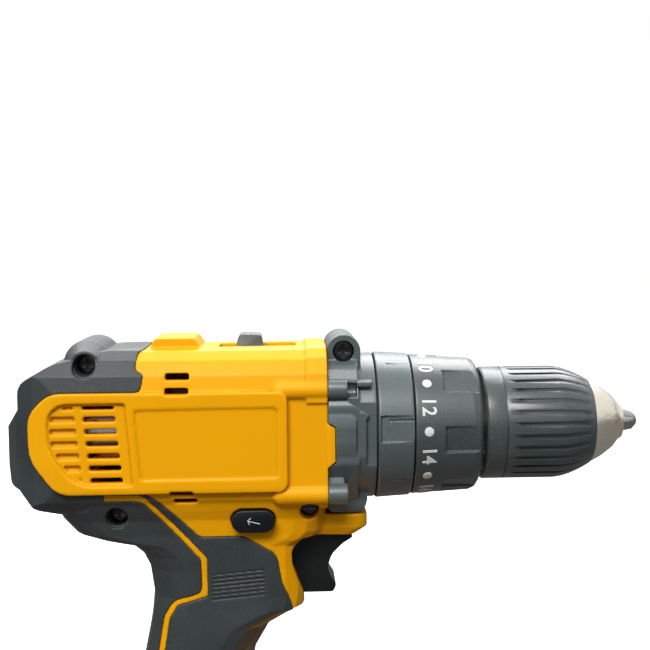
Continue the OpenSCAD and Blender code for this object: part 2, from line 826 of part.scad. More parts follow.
// raised plates on the sides of the gearbox case, the outer one inside the other
case_plate = [[-1, 9.8, 0], [3.6, 9.8, 0.8], [8.7, 5, 0.8], [8.5, -8.5, 0.8], [4.1, -12.8, 0.8],
    [-1, -12.8, 0]];
case_step = [[-1, 10.7, 0], [6, 10.7, 0.8], [12.8, 6, 0.6], [11.8, 4.6, 0.6], [11.8, -10, 1],
    [9, -14.4, 0.8], [-1, -14.4, 0]];
case_flat = [[-1, 10.7, 0], [6.4, 10.7, 0.5], [8.5, 14.6, 0.5], [17, 14.6, 0], [17, -14.8, 0],
    [-1, -14.8, 0]];
case_level = [2.2, 1, 0.1];     // how far the flat, the step and the plate lie inside the flange

module case_sides(side) {
    difference() {
        case_side(case_flat, case_level[0], side, 60);
        case_side(case_step, case_level[1], side, -15);
        case_side(case_plate, case_level[2], side, -15);
    }
}

// a side outline drawn from a depth below the flange's rim, outwards to 60 or inwards
module case_side(points, level, side, reach) {
    y = flange_r - level;
    side_slab(outline(points), side > 0 ? min(y, y + reach) : min(-y, -y - reach),
        side > 0 ? max(y, y + reach) : max(-y, -y - reach));
}

lug_spot = [5.4, 24.9];
lug_r = 5.3;

module gearbox_case() {
    color(plastic * 1.4) on_axis() difference() {
        union() {
            rod(case_back, 0.5, case_r);
            flange_form();
            rod(flange_len - 0.5, neck_front, neck_r);
            tube(flange_len - 0.5, flange_len + collar_len, collar_r, collar_r - 1);
            cross_rod(lug_spot.x, lug_spot.y, -13, 13, lug_r);
            box(0.05, lug_spot.x + lug_r, -13, 13, 18, lug_spot.y);
            for (side = [-1, 1]) for (b = front_bosses)
                translate([0, side * b.x, b.y]) rod(0.05, front_boss_cap, front_boss_r);
            for (side = [-1, 1]) for (b = front_bosses)
                hull_free_web(side, b);
        }
        rod(case_back - cut, wall_back, case_r - case_wall);
        rod(wall_back - cut, neck_front + cut, spindle_r + 1.2);
        rod(wall_back + 3.4, neck_front + cut, neck_bore_r);
        around(clutch_pins_n, 30) translate([0, pin_ring_r, 0])
            rod(wall_back - cut, flange_len + cut, clutch_pin_r + play);
        tube(clip_x - 0.05, clip_x + clip_w + 0.05, neck_r + cut, neck_r - 0.9);
        // notches for the tabs of the housing
        for (side = [-1, 1])
            side_slab([[-0.5, 4], [2.4, 2.7], [2.4, -8.6], [-0.5, -10.3]],
                side > 0 ? head_half_w - 2.5 : -head_half_w - 3,
                side > 0 ? head_half_w + 3 : 2.5 - head_half_w);
        // slot for the selector's post
        box(shift_post_x - shift_post_w / 2 - gap, shift_post_x + shift_post_w / 2 + shift_travel + gap,
            -2.5 - gap, 2.5 + gap, case_r - case_wall - 3, case_r + 2);
        for (side = [-1, 1]) case_sides(side);
        cross_rod(lug_spot.x, lug_spot.y, -60, -8.6, 3.3);
        cross_rod(lug_spot.x, lug_spot.y, -60, 9, screw_r + 0.05);
        front_boss_holes(screw_r + 0.05, -cut, 9);
        front_boss_holes(boss_head_r + 0.1, front_boss_cap - boss_head_h - 0.2, 9);
    }
}

// web that ties a side boss to the flange
module hull_free_web(side, b) {
    translate([0, side * b.x, b.y]) rotate([b.y > 0 ? side * -35 : side * 42, 0, 0])
        box(0.05, front_boss_cap - 1, -2.4, 2.4, b.y > 0 ? -4 : 0, b.y > 0 ? 0 : 4);
}

module case_screws() {
    color(steel * 0.6) on_axis()
        translate([lug_spot.x, -8.6 - sliver, lug_spot.y]) rotate([0, 0, 90])
            cross_screw(15, screw_r, 3, 2.2);
    color(steel * 0.6) on_axis() for (side = [-1, 1]) for (b = front_bosses)
        translate([front_boss_cap - boss_head_h - 0.2 + 2 * sliver, side * b.x, b.y])
            rotate([0, 0, 180]) cross_screw(14, screw_r, boss_head_r, boss_head_h);
}

module motor_plate() {
    color(steel) on_axis() difference() {
        rod(motor_front + sliver, motor_front + motor_plate_w, case_r - 0.3);
        rod(motor_front - cut, -10, 7.2);
        around(2) translate([0, 0, 12.5]) rod(motor_front - cut, -10, 1.6);
    }
}

module motor_can() {
    color(steel) on_axis() difference() {
        rod(motor_back, motor_front, motor_r);
        rod(motor_back - cut, motor_front - can_wall, motor_r - can_wall);
        rod(motor_back, motor_front + cut, 5);
        around(4, 45) translate([0, 0, motor_r - 4]) box(motor_back + 8, motor_back + 20, -4, 4, 0, 9);
        around(6) translate([0, 0, motor_r - 4]) box(fan_front - fan_len - 1, fan_front + 1, -3.6, 3.6, 0, 9);
        around(2) translate([0, 0, 12.5]) rod(motor_front - 3, motor_front + cut, 1.5);
    }
}

module motor_magnets() {
    color([0.2, 0.2, 0.22]) on_axis() for (side = [-1, 1]) intersection() {
        tube(core_back - 1, core_front + 1, motor_r - can_wall - sliver, magnet_in);
        front_slab([[0, 0], [side * 40, -23], [side * 40, 23]], motor_back, motor_front);
    }
}

module motor_end_bell() {
    color([0.25, 0.25, 0.27]) on_axis() difference() {
        union() {
            rod(motor_back - bell_len, motor_back - sliver, motor_r);
            rod(motor_back - sliver, motor_back + 3, motor_r - can_wall - 0.05);
            rod(motor_back - bell_len - 3, motor_back - bell_len + 1, bearing_boss_r);
        }
        rod(motor_back - bell_len - 3 - cut, motor_back + 9, shaft_r + play);
        rod(motor_back - bell_len + 2, motor_back + 9, rotor_r + 0.4);
        around(2, 90) translate([0, 0, 12]) rod(motor_back - bell_len - cut, motor_back, 2.2);
    }
}

module motor_brushes() {
    color(brass) on_axis() for (side = [-1, 1]) {
        box(brush_x - 2.4, brush_x + 2.4, -2.4, 2.4,
            side > 0 ? comm_r + 0.1 : -rotor_r, side > 0 ? rotor_r : -comm_r - 0.1);
        box(brush_x - 0.4, brush_x + 0.4, -3, 3,
            side > 0 ? rotor_r + sliver : 0.1 - magnet_in - 2.2,
            side > 0 ? magnet_in + 2.1 : -rotor_r - sliver);
    }
}

module ring_gear() {
    color(steel) on_axis() difference() {
        union() {
            toothed_ring(ring_gear_back, ring_gear_back + ring_gear_len);
        }
        around(clutch_pins_n, 30) translate([0, pin_ring_r, 0])
            rod(ring_gear_back + ring_gear_len - 0.6, 60, clutch_pin_r + 0.4);
    }
}

module front_bearing() {
    color(steel) on_axis() difference() {
        tube(neck_front - 2 - bearing_w, neck_front - 2, neck_bore_r - sliver, spindle_r + play);
        tube(neck_front - 2.6, neck_front - 2 + cut, 11, 8.6);
    }
}

// ring with a saw-toothed face
module ratchet(x0, x1, r_out, r_in, face) {
    difference() {
        tube(x0, x1, r_out, r_in);
        around(12, 15) box(face - 0.9, face + 0.9, -0.8, 0.8, r_in - 2, r_out + 2);
    }
}

module fixed_ratchet() {
    color(steel) on_axis() ratchet(flange_len + 1, flange_len + 1 + ratchet_w,
        neck_bore_r - sliver, spindle_r + 1, flange_len + 1 + ratchet_w);
}

module clutch_pins() {
    color(steel) on_axis() around(clutch_pins_n, 30) translate([0, pin_ring_r, 0])
        rod(ring_gear_back + ring_gear_len - 0.55, clutch_plate_x - sliver, clutch_pin_r);
}

module clutch_plate() {
    color(steel) on_axis()
        tube(clutch_plate_x, clutch_plate_x + plate_w, collar_r - 1.2, neck_r + 0.1);
}

// a spring as a row of leaning rings, the end ones flat
module spring_coils(x0, x1, r, wire, turns) {
    pitch = (x1 - x0 - 2 * wire - 0.02) / turns;
    lean = asin((pitch - 2.2 * wire) / 2 / r);
    for (i = [0:turns]) translate([x0 + 0.01 + wire + i * pitch, 0, 0])
        rotate([0, 90 + (i == 0 || i == turns ? 0 : lean), 0]) rotate_extrude() translate([r, 0])
            circle(r = wire, $fn = 24);
}

module clutch_spring() {
    color(steel * 0.85) on_axis() spring_coils(clutch_plate_x + plate_w, nut_x,
        neck_r + 0.6 + wire_r, wire_r, spring_turns);
}

module retaining_ring() {
    color(steel) on_axis() difference() {
        tube(clip_x, clip_x + clip_w, neck_r + 1.6, neck_r - 0.85);
        box(clip_x - cut, clip_x + 3, -2.5, 2.5, 0, 30);
    }
}

// ---------- handle interior ----------
lamp_x = 7;
lamp_z = -30.5;
lamp_r = 2.7;
switch_front = -25;
switch_back = -47;
switch_top = -36.6;
switch_bottom = -55;
switch_half_w = 10.5;
plunger_r = 2.6;
plunger_z = -44;

module switch_module() {
    color([0.2, 0.2, 0.22]) on_axis() difference() {
        union() {
            box(switch_back, switch_front, -switch_half_w, switch_half_w, switch_bottom, switch_top);
            box(-36, -31, -4, 4, switch_top, -31.2);
        }
        translate([0, 0, plunger_z]) rod(switch_front - trigger_travel - 8, 0, plunger_r + 0.1);
        translate([0, 0, plunger_z]) rod(switch_front - 1.6, 0, plunger_r + 2.6);
    }
}

module work_lamp() {
    color([0.9, 0.92, 0.95]) on_axis() translate([lamp_x, 0, lamp_z]) {
        rod(-3.6, 3.2, lamp_r - 0.05);
        translate([3.2, 0, 0]) sphere(r = lamp_r - 0.6);
    }
}

module foot_terminals() {
    color(plastic * 1.3) on_axis() {
        box(rail_back + sliver, rail_back + 5, -14, 14, rail_z + 0.4, rail_top + 0.2);
        for (y = [-10, -3.5, 3.5, 10])
            box(rail_back + 5, rail_back + 16, y - 0.4, y + 0.4, rail_z + 0.8, rail_top - 1.4);
    }
}

// a wire laid through its bends
module wire(points, r) {
    last = len(points) - 2;
    for (i = [0:last]) let (a = points[i], d = points[i + 1] - a, lap = i > 0 ? r * 0.4 : 0)
        translate(a) rotate([0, acos(d.z / norm(d)), atan2(d.y, d.x)]) translate([0, 0, -lap])
            cylinder(h = norm(d) + lap + (i < last ? r * 0.4 : 0), r = i % 2 == 0 ? r : r * 1.06, $fn = 8);
}

module wiring() {
    color([0.7, 0.1, 0.08]) on_axis() {
        for (y = [-5, 5]) wire([[switch_back - 0.1, y, -50], [switch_back - 1.6, y, -50],
            [switch_back - 3.2, y, -53], [-53, y, -80], [-60, y, foot_flare + 2], [-60, y, rail_top + 2.5]], 1);
        for (y = [-8, 8]) wire([[switch_back - 0.1, y, -41], [switch_back - 1.6, y, -41],
            [switch_back - 3, y, -38], [-64, y, -31], [-72, y, -28.9], [-77, y, -23.8],
            [-79.8, y, -19.4], [motor_back - bell_len - 1.9, y, -16.5],
            [motor_back - bell_len - 1.9, y, -12]], 0.9);
    }
}

module trigger_spring() {
    color(steel) on_axis() translate([0, 0, plunger_z])
        spring_coils(switch_front - 1.55, trigger_back - 0.05, plunger_r + 1.3, 0.5, 5);
}

// threaded inserts in the foot's sides for a belt hook or a bit holder
hook_x = -34;
hook_z = foot_bottom + 8;
hook_r = 1.65;
hook_len = 6;

module hook_holes(r) {
    for (side = [-1, 1]) cross_rod(hook_x, hook_z, side > 0 ? foot_half_w - hook_len : -60,
        side > 0 ? 60 : hook_len - foot_half_w, r, $fn = 20);
}

module hook_inserts() {
    color(brass) on_axis() for (side = [-1, 1]) difference() {
        cross_rod(hook_x, hook_z, side > 0 ? foot_half_w - hook_len : -foot_half_w,
            side > 0 ? foot_half_w : hook_len - foot_half_w, 3);
        cross_rod(hook_x, hook_z, -60, 60, hook_r);
    }
}

// ---------- rotor ----------
module rotor_shaft() {
    color(steel) on_axis() rod(motor_back - bell_len - 2.8, pinion_front, shaft_r);
}

module armature() {
    color(copper) on_axis() difference() {
        union() {
            rod(core_back, core_front, rotor_r);
            rod(core_back - 3, core_front + 3, rotor_r - 2.6);
        }
        rod(core_back - 9, core_front + 9, shaft_r + sliver);
        around(5) box(core_back - cut, core_front + cut, -0.9, 0.9, rotor_r - 1.6, 20);
    }
}

module commutator() {
    color(copper) on_axis() difference() {
        tube(comm_front - comm_len, comm_front, comm_r, shaft_r + sliver);
        around(5, 36) box(-90, 0, -0.25, 0.25, comm_r - 0.7, 20);
    }
}

module cooling_fan() {
    color(plastic) on_axis() {
        tube(fan_front - fan_len, fan_front, 4, shaft_r + sliver);
        tube(fan_front - 1.2, fan_front, rotor_r, 3.9);
        around(8) box(fan_front - fan_len, fan_front - 1.1, -0.6, 0.6, 3.8, rotor_r - 0.3);
    }
}

module pinion() {
    color(steel) on_axis() difference() {
        gear(motor_front + motor_plate_w + 1.2, pinion_front, sun_teeth);
        rod(-60, 0, shaft_r + sliver);
    }
}

// ---------- planetary stages ----------
module first_carrier() {
    color(steel) on_axis() difference() {
        union() {
            rotate([180 / ring_teeth, 0, 0])
                front_slab(outer_gear(ring_teeth), carrier_back, carrier_back + carrier_plate);
            planet_pins(first_planet_x - 0.4, carrier_back + sliver);
            gear(carrier_back + carrier_plate - sliver, spindle_back - 0.3, sun_teeth);
        }
    }
}

module first_planet_1() {
    color(steel) on_axis() planet(first_planet_x, 0);
}

module first_planet_2() {
    color(steel) on_axis() planet(first_planet_x, 1);
}

module first_planet_3() {
    color(steel) on_axis() planet(first_planet_x, 2);
}

module second_planet_1() {
    color(steel) on_axis() planet(second_planet_x, 0);
}

module second_planet_2() {
    color(steel) on_axis() planet(second_planet_x, 1);
}

module second_planet_3() {
    color(steel) on_axis() planet(second_planet_x, 2);
}

module spindle() {
    color(steel) on_axis() difference() {
        union() {
            rod(spindle_back, spindle_back + spindle_flange, spindle_flange_r);
            planet_pins(second_planet_x - 0.2, spindle_back + sliver);
            rod(spindle_back + spindle_flange - sliver, spindle_front, spindle_r);
        }
        rod(spindle_front - 12, spindle_front + cut, 2.5);
    }
}

module spindle_ratchet() {
    x0 = flange_len + 1.5 + ratchet_w + gap;
    color(steel) on_axis() ratchet(x0, x0 + ratchet_w, neck_bore_r - 0.5, spindle_r + sliver, x0);
}

// ---------- chuck ----------
// a jaw's own axis: x runs along it, from its tip backwards is negative
module along_jaw(place) {
    rotate([place * 120, 0, 0]) translate([jaw_tip, 0, -tip_off]) rotate([0, jaw_angle, 0])
        children();
}

// distance of the jaws' outer edge from the drive axis at x
function jaw_edge(x) = -tip_off + (jaw_tip - x) * tan(jaw_angle) + jaw_r / cos(jaw_angle);

module jaw(place) {
    color(steel) on_axis() intersection() {
        along_jaw(place) rod(-jaw_len, 6, jaw_r);
        rotate([place * 120, 0, 0]) front_slab([[0, 0.06], [60, 0.06 + 60 * tan(30)], [60, 99],
            [-60, 99], [-60, 0.06 + 60 * tan(30)]], 0, jaw_tip);
        cone(jaw_tip - 60, jaw_tip, 60 + jaw_edge(jaw_tip) - 1, jaw_edge(jaw_tip) - 1);
    }
}

module chuck_body() {
    color(nose_metal) on_axis() difference() {
        turned([[sleeve_back + 0.4, 0], [sleeve_back + 0.4, sleeve_in - 0.4],
            [sleeve_back + 4, sleeve_in - 0.4], [sleeve_back + 4, body_r],
            [nut_back - 0.2, body_r], [nut_back - 0.2, jaw_edge(nut_back) - 0.3],
            [nut_front + 0.2, jaw_edge(nut_front) - 0.3], [nut_front + 0.2, body_r - 0.7],
            [nose_back, body_r - 0.7], [nose_back, body_r + 0.7],
            [nose_back + 4, body_r - 1.4], [nose_back + 7.6, body_r - 4],
            [nose_back + 9.8, body_r - 6.6], [nose_front, chuck_bore_r + 0.4], [nose_front, 0]]);
        rod(sleeve_back - cut, sleeve_back + socket_len + 1, spindle_r + sliver);
        rod(sleeve_back, nose_front + cut, chuck_bore_r);
        for (i = [0:2]) along_jaw(i) rod(-jaw_len - jaw_travel - 1.2, 9, jaw_r + play);
    }
}

module chuck_screw() {
    color(steel * 0.7) on_axis() translate([spindle_front + 1 + sliver, 0, 0]) rotate([0, 0, 180])
        cross_screw(11, 2.45, 4, 3);
}

function sleeve_profile(x) = sleeve_r - 4.3 * pow(max(0, x - sleeve_front + 12.2) / 12.2, 1.7);

module chuck_sleeve() {
    steps = 10;
    bend = sleeve_front - 12.2;
    groove_back = sleeve_back + 8.2;
    groove_front = sleeve_front - 1;
    color(plastic) on_axis() difference() {
        turned(concat([[sleeve_back, sleeve_in], [sleeve_back, sleeve_r - 0.5],
                [sleeve_back + 0.6, sleeve_r]],
            [for (i = [0:steps]) let (x = bend + i * (sleeve_front - bend) / steps)
                [x, sleeve_profile(x)]],
            [[sleeve_front, body_r - 0.6], [nut_front + gap, body_r - 0.6],
                [nut_front + gap, nut_r + sliver], [nut_back - gap, nut_r + sliver],
                [nut_back - gap - 2.5, sleeve_in]]));
        around(sleeve_grooves) side_slab(concat(
            [for (i = [0:steps]) let (x = groove_back + i * (groove_front - groove_back) / steps)
                [x, sleeve_profile(x) - 0.6 * sin(180 * pow(i / steps, 0.35))]],
            [[groove_front, 30], [groove_back, 30]]), -groove_w / 2, groove_w / 2);
        tube(sleeve_back + 6.2, sleeve_back + 6.6, 30, sleeve_r - 0.3);
    }
}

module chuck_nut() {
    color(steel) on_axis() difference() {
        rod(nut_back, nut_front, nut_r);
        cone(nut_back - cut, nut_front + cut, jaw_edge(nut_back - cut) + 0.1,
            jaw_edge(nut_front + cut) + 0.1);
    }
}

module jaw_1() {
    jaw(0);
}

module jaw_2() {
    jaw(1);
}

module jaw_3() {
    jaw(2);
}

// ---------- collars ----------
module mode_ring() {
    color(plastic * 1.15) on_axis() difference() {
        union() {
            turned([[mode_back, collar_r + 0.1], [mode_back, mode_r - 0.4], [mode_back + 0.4, mode_r],
                [mode_front - 0.4, torque_r + 0.4], [mode_front, torque_r],
                [mode_front, collar_r + 0.1]]);
        }
        rod(mode_back - cut, mode_front + cut, collar_r + 0.1);
        around(3, 85) mode_scoop();
        around(7, 85 + 360 / 7) pad_lines(0.55);
        around(3, 85) pad_lines(1.5);
    }
}

// a finger recess across the mode ring
module mode_scoop() {
    front_slab([[-4.2, mode_r - 1], [3.9, mode_r - 1], [4.3, 40], [-6.4, 40]],
        mode_back + 0.6, mode_front + cut);
}

// thin lines that frame a pad on the mode ring
module pad_lines(depth) {
    box(mode_back + 3.2, mode_back + 3.65, -2.6, 2.6, mode_r - depth, 40);
    box(mode_back + 3.2, mode_front + cut, 2.2, 2.65, mode_r - depth - 0.2, 40);
}

module torque_ring() {
    radius_end = torque_r - torque_taper;
    color(plastic * 1.15) on_axis() difference() {
        turned([[torque_back, torque_r - ring_wall], [torque_back, torque_r - 0.3],
            [torque_back + 0.3, torque_r], [torque_front - 3, radius_end],
            [torque_front - 1.2, radius_end - 0.8], [torque_front - 0.3, radius_end - 2.2],
            [torque_front, radius_end - 3.4], [torque_front, neck_r + 2.2],
            [torque_front - lip_front, neck_r + 2.2], [torque_front - lip_front, neck_r + 0.1],
            [torque_front - lip_back, neck_r + 0.1], [torque_front - lip_back, torque_r - ring_wall]]);
        around(4) box(torque_back - cut, torque_front - lip_back - 0.2, -1.6, 1.6, 10,
            torque_r - ring_wall + key_depth);
        around(torque_grips, -48) torque_scoop();
    }
}

// a finger recess with one steep edge, running out over the ring's front
module torque_scoop() {
    span = 22;
    depth = torque_grip_depth;
    front_slab(concat([for (i = [0:4]) let (a = span * i / 4)
                (torque_r - torque_taper - depth * (1 - pow(i / 4, 2) * 0.9)) * [sin(a), cos(a)]],
            [40 * [sin(span), cos(span)], 40 * [sin(-1), cos(-1)]]),
        torque_back + 9.2, torque_front + cut);
}

module torque_nut() {
    color(brass) on_axis() difference() {
        union() {
            rod(nut_x, nut_x + nut_len, torque_r - ring_wall - gap);
            around(4) box(nut_x, nut_x + nut_len, -1.6 + gap, 1.6 - gap, 16,
                torque_r - ring_wall + key_depth - gap);
        }
        rod(nut_x - cut, nut_x + nut_len + cut, neck_r + play);
    }
}

// ---------- controls ----------
selector_back = -41.4;
selector_front = -9.5;
window_back = selector_back + shift_travel + 0.8;
selector_half_w = 6;
selector_knob = 9;
shift_post_x = -14.5;
shift_post_w = 3;

module speed_selector() {
    top = head_top - 1.4;
    color(plastic * 1.3) on_axis() {
        difference() {
            box(selector_back, selector_front, -selector_half_w, selector_half_w, top - 1.6, top);
            for (x = [selector_back + 1.6 : 1.8 : selector_front - 1])
                box(x, x + 0.8, -selector_half_w + 1, selector_half_w - 1, top - 0.5, top + cut);
        }
        side_slab(outline([[-28.8, top - 0.6, 0], [-19.4, top - 0.6, 0], [-20.4, top + 4.6, 1.2],
            [-27.2, top + 4.9, 1.6]]), 1 - selector_half_w, selector_half_w - 1);
        box(shift_post_x - shift_post_w / 2, shift_post_x + shift_post_w / 2, -2.5, 2.5,
            ring_r - 0.6, top - 1.5);
    }
}

module shift_ring() {
    color(steel) on_axis() difference() {
        toothed_ring(shift_front - shift_len, shift_front);
        box(shift_post_x - shift_post_w / 2 - sliver, shift_post_x + shift_post_w / 2 + sliver,
            -2.5 - sliver, 2.5 + sliver, ring_r - 0.6 - sliver, 30);
    }
}

trigger_back = -17;
trigger_outline = [[9.4, chin_bottom - 0.5, 0.3], [trigger_back, chin_bottom - 0.5, 0.5],
    [trigger_back, -53, 0.5], [1.8, -53, 1.4], [3, -50.6, 1.5], [-0.2, -45.6, 9],
    [1.6, -40.6, 6], [5.4, -37, 4]];

module trigger() {
    color(plastic) on_axis() {
        intersection() {
            side_slab(outline(trigger_outline), -trigger_w / 2, trigger_w / 2);
            top_slab(outline(plate_corners(trigger_back - 1, 10, trigger_w / 2, 5)), -70, -30);
        }
        translate([0, 0, plunger_z]) rod(switch_front - 6, trigger_back + 1, plunger_r);
    }
}

module direction_button() {
    half = grip_half_w + 4.4;
    color(plastic) on_axis() translate([-23.2, 0, -26.5]) {
        rotate([90, 0, 0]) linear_extrude(2 * half, center = true)
            stadium(direction_len, direction_h);
    }
}

// ---------- battery ----------
base_z = -axis_height;
module battery_case() {
    color(plastic) on_axis() difference() {
        union() {
            round_plate(battery_back, battery_front, battery_half_w, 9, base_z, deck_z - lid_len);
            for (side = [-1, 1]) for (x = [battery_back + 18 : 14 : battery_front - 18])
                box(x, x + 6, side > 0 ? battery_half_w - 1 : -battery_half_w - 0.6,
                    side > 0 ? battery_half_w + 0.6 : 1 - battery_half_w, base_z + 8, base_z + 24);
        }
        round_plate(battery_back + battery_wall, battery_front - battery_wall,
            battery_half_w - battery_wall, 7, base_z + battery_wall, 0);
    }
}

module battery_lid() {
    color(plastic * 1.15) on_axis() difference() {
        union() {
            round_plate(battery_back, battery_front, battery_half_w, 9,
                deck_z - lid_len + sliver, deck_z - 1.4);
            round_plate(battery_back + 1, battery_front - 1, battery_half_w - 1, 8.5,
                deck_z - 1.5, deck_z);
            box(rail_back + 6.2, rail_front, rail_lip - rail_half_w, rail_half_w - rail_lip,
                deck_z - 1, rail_z + 0.4);
            box(rail_back + 6.2, rail_front, -rail_half_w, rail_half_w, rail_z + gap, rail_top);
        }
        box(rail_back + 9, rail_front - 4, -rail_half_w + 4.5, rail_half_w - 4.5,
            deck_z - 9, rail_z + 2);
        for (y = [-10, -3.5, 3.5, 10])
            box(rail_back, rail_back + 17, y - 0.8, y + 0.8, rail_z + 0.5, rail_top - 1.1);
        box(latch_back - gap, latch_front + gap, -latch_half_w - gap, latch_half_w + gap, -200, 0);
        for (side = [-1, 1]) for (x = [battery_back + 7, battery_front - 7])
            translate([x, side * (battery_half_w - 7), deck_z - 1.3]) {
                cylinder(h = 20, r = 2.8);
                translate([0, 0, -9]) cylinder(h = 10, r = 1.6);
            }
    }
}

cell_z = base_z + battery_wall + cell_d / 2 + 0.5;

module battery_cells() {
    pitch = cell_d + 0.4;
    color([0.1, 0.45, 0.5]) on_axis() for (i = [0:cell_count - 1])
        cross_rod(battery_mid + (i - (cell_count - 1) / 2) * pitch, cell_z,
            -cell_len / 2, cell_len / 2, cell_d / 2);
}

module cell_straps() {
    pitch = cell_d + 0.4;
    color(steel) on_axis() for (side = [-1, 1])
        for (i = [side > 0 ? 0 : 1 : 2 : cell_count - 2])
            box(battery_mid + (i - (cell_count - 1) / 2) * pitch - 3,
                battery_mid + (i - (cell_count - 3) / 2) * pitch + 3,
                side > 0 ? cell_len / 2 + sliver : -cell_len / 2 - 0.3,
                side > 0 ? cell_len / 2 + 0.3 : -cell_len / 2 - sliver, cell_z - 4, cell_z + 4);
}

module battery_terminals() {
    color(copper) on_axis() for (y = [-10, -3.5, 3.5, 10]) for (side = [-1, 1])
        box(rail_back + 9.1, rail_back + 15, y + (side > 0 ? 0.45 : -0.79),
            y + (side > 0 ? 0.79 : -0.45), rail_z + 0.6, rail_top - 1.2);
}

module battery_screws() {
    color(steel * 0.6) on_axis() for (side = [-1, 1])
        for (x = [battery_back + 7, battery_front - 7])
            translate([x, side * (battery_half_w - 7), deck_z - 1.3 + sliver]) rotate([0, 90, 0])
                cross_screw(3.4, 1.5, 2.6, 1);
}

latch_front = battery_front - battery_wall - gap;
latch_back = latch_front - 5.3;
latch_half_w = 9;

module latch_button() {
    color([0.75, 0.1, 0.08]) on_axis()
        round_plate(latch_back, latch_front, latch_half_w, 1.5, deck_z - 4, deck_z + 1.6);
}

right_shell();
left_shell();
right_overmold();
left_overmold();
shell_screws();
gearbox_case();
case_screws();
motor_plate();
motor_can();
motor_magnets();
motor_end_bell();
motor_brushes();
ring_gear();
front_bearing();
fixed_ratchet();
clutch_pins();
clutch_plate();
clutch_spring();
retaining_ring();
switch_module();
work_lamp();
foot_terminals();
wiring();
trigger_spring();
hook_inserts();
rotor_shaft();
armature();
commutator();
cooling_fan();
pinion();
first_carrier();
first_planet_1();
first_planet_2();
first_planet_3();
second_planet_1();
second_planet_2();
second_planet_3();
spindle();
spindle_ratchet();
chuck_body();
chuck_screw();
chuck_sleeve();
chuck_nut();
jaw_1();
jaw_2();
jaw_3();
mode_ring();
torque_ring();
torque_nut();
speed_selector();
shift_ring();
trigger();
direction_button();
battery_case();
battery_lid();
battery_cells();
cell_straps();
battery_terminals();
battery_screws();
latch_button();
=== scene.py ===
"""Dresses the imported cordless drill: soft-edged mouldings, printed marks, finishes and stage."""

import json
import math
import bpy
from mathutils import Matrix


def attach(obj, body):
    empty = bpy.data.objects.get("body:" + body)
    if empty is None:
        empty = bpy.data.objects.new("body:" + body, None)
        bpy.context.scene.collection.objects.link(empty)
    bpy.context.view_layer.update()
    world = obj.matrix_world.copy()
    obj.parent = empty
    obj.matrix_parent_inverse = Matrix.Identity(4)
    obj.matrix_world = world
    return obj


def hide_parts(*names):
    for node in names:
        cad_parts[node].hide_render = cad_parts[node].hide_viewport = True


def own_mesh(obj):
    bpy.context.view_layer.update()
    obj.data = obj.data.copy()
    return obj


bl_info = {
    "name": "Cordless drill",
    "version": (1, 0, 0),
    "blender": (4, 5, 0),
    "location": "View3D > Sidebar > Drill",
    "description": "Dresses the packed cordless drill and sets its stage",
    "category": "Object",
}

import bpy
import numpy as np
from mathutils import Matrix, Vector

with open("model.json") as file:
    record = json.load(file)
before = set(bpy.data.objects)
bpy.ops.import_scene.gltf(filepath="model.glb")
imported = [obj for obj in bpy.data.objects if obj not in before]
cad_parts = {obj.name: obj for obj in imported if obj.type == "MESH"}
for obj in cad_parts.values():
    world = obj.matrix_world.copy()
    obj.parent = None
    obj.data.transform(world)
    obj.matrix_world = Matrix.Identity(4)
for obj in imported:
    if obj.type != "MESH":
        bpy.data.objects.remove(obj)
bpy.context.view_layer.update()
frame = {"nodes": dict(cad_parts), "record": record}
MM = 0.001
AXIS_HEIGHT = 165 * MM      # the drive axis above the base
FRONT_FACE = 32 * MM        # the housing's front face, ahead of the origin
MERGE = 0.002 * MM          # corners of a CAD solid closer than this are one
FLAT_ANGLE = math.radians(0.6)      # faces this nearly level become one
BREAK_ANGLE = math.radians(32)      # edges sharper than this are broken
SCREW_WELLS = ((-74, 21.8), (-65, -25))     # the rear wells: ahead of the front face, above the axis
WELL_RADIUS = 3.7 * MM
WELL_START = 8 * MM         # the wells begin this far out from the middle
RING_RADIUS = 22.5          # the torque ring where it starts, in millimetres
RING_START = 27.0           # ahead of the front face, in millimetres
RING_TAPER = 18.5           # how far along the ring's radius falls by one, in millimetres
MARKS_MIDDLE = 31.0         # the marks' line on the ring, ahead of the front face
MARK_THICKNESS = 0.3 * MM
MARK_STEP = math.radians(40)
NUMBERS = (10, 12, 14, 16, 18, 2, 4, 6, 8)
ARROW_STROKES = (           # length, turn in degrees, and place along and up, in millimetres
    (4.0, -14, 0.2, -0.2),
    (1.5, 40, -1.2, 0.75),
    (1.5, -68, -1.4, -0.2),
)
BODY_OF = {
    node: body
    for body, nodes in frame["record"]["behaviour"]["bodies"].items()
    for node in nodes
}
SLOT_OF = {part["node"]: part["material_slot"] for part in frame["record"]["subparts"]}


# ---------- working with objects ----------

def at(x, y, z):
    """A point given in millimetres from the drive axis at the housing's front face."""
    return Vector((FRONT_FACE + x * MM, y * MM, AXIS_HEIGHT + z * MM))


def only(*objects):
    """Selects these objects alone."""
    bpy.ops.object.select_all(action="DESELECT")
    for item in objects:
        item.select_set(True)
    bpy.context.view_layer.objects.active = objects[0]


def edit(piece, *steps):
    """Runs edit-mode steps with every vertex selected."""
    only(piece)
    bpy.ops.object.mode_set(mode="EDIT")
    bpy.ops.mesh.select_all(action="SELECT")
    for step in steps:
        step()
    bpy.ops.object.mode_set(mode="OBJECT")


def finish_with(piece, kind, **values):
    """Adds one modifier and applies it."""
    only(piece)
    modifier = piece.modifiers.new(kind.title(), kind)
    for key, value in values.items():
        setattr(modifier, key, value)
    bpy.ops.object.modifier_apply(modifier=modifier.name)


def settle(piece):
    """Bakes the object's place into its mesh."""
    only(piece)
    bpy.ops.object.transform_apply(location=True, rotation=True, scale=True)


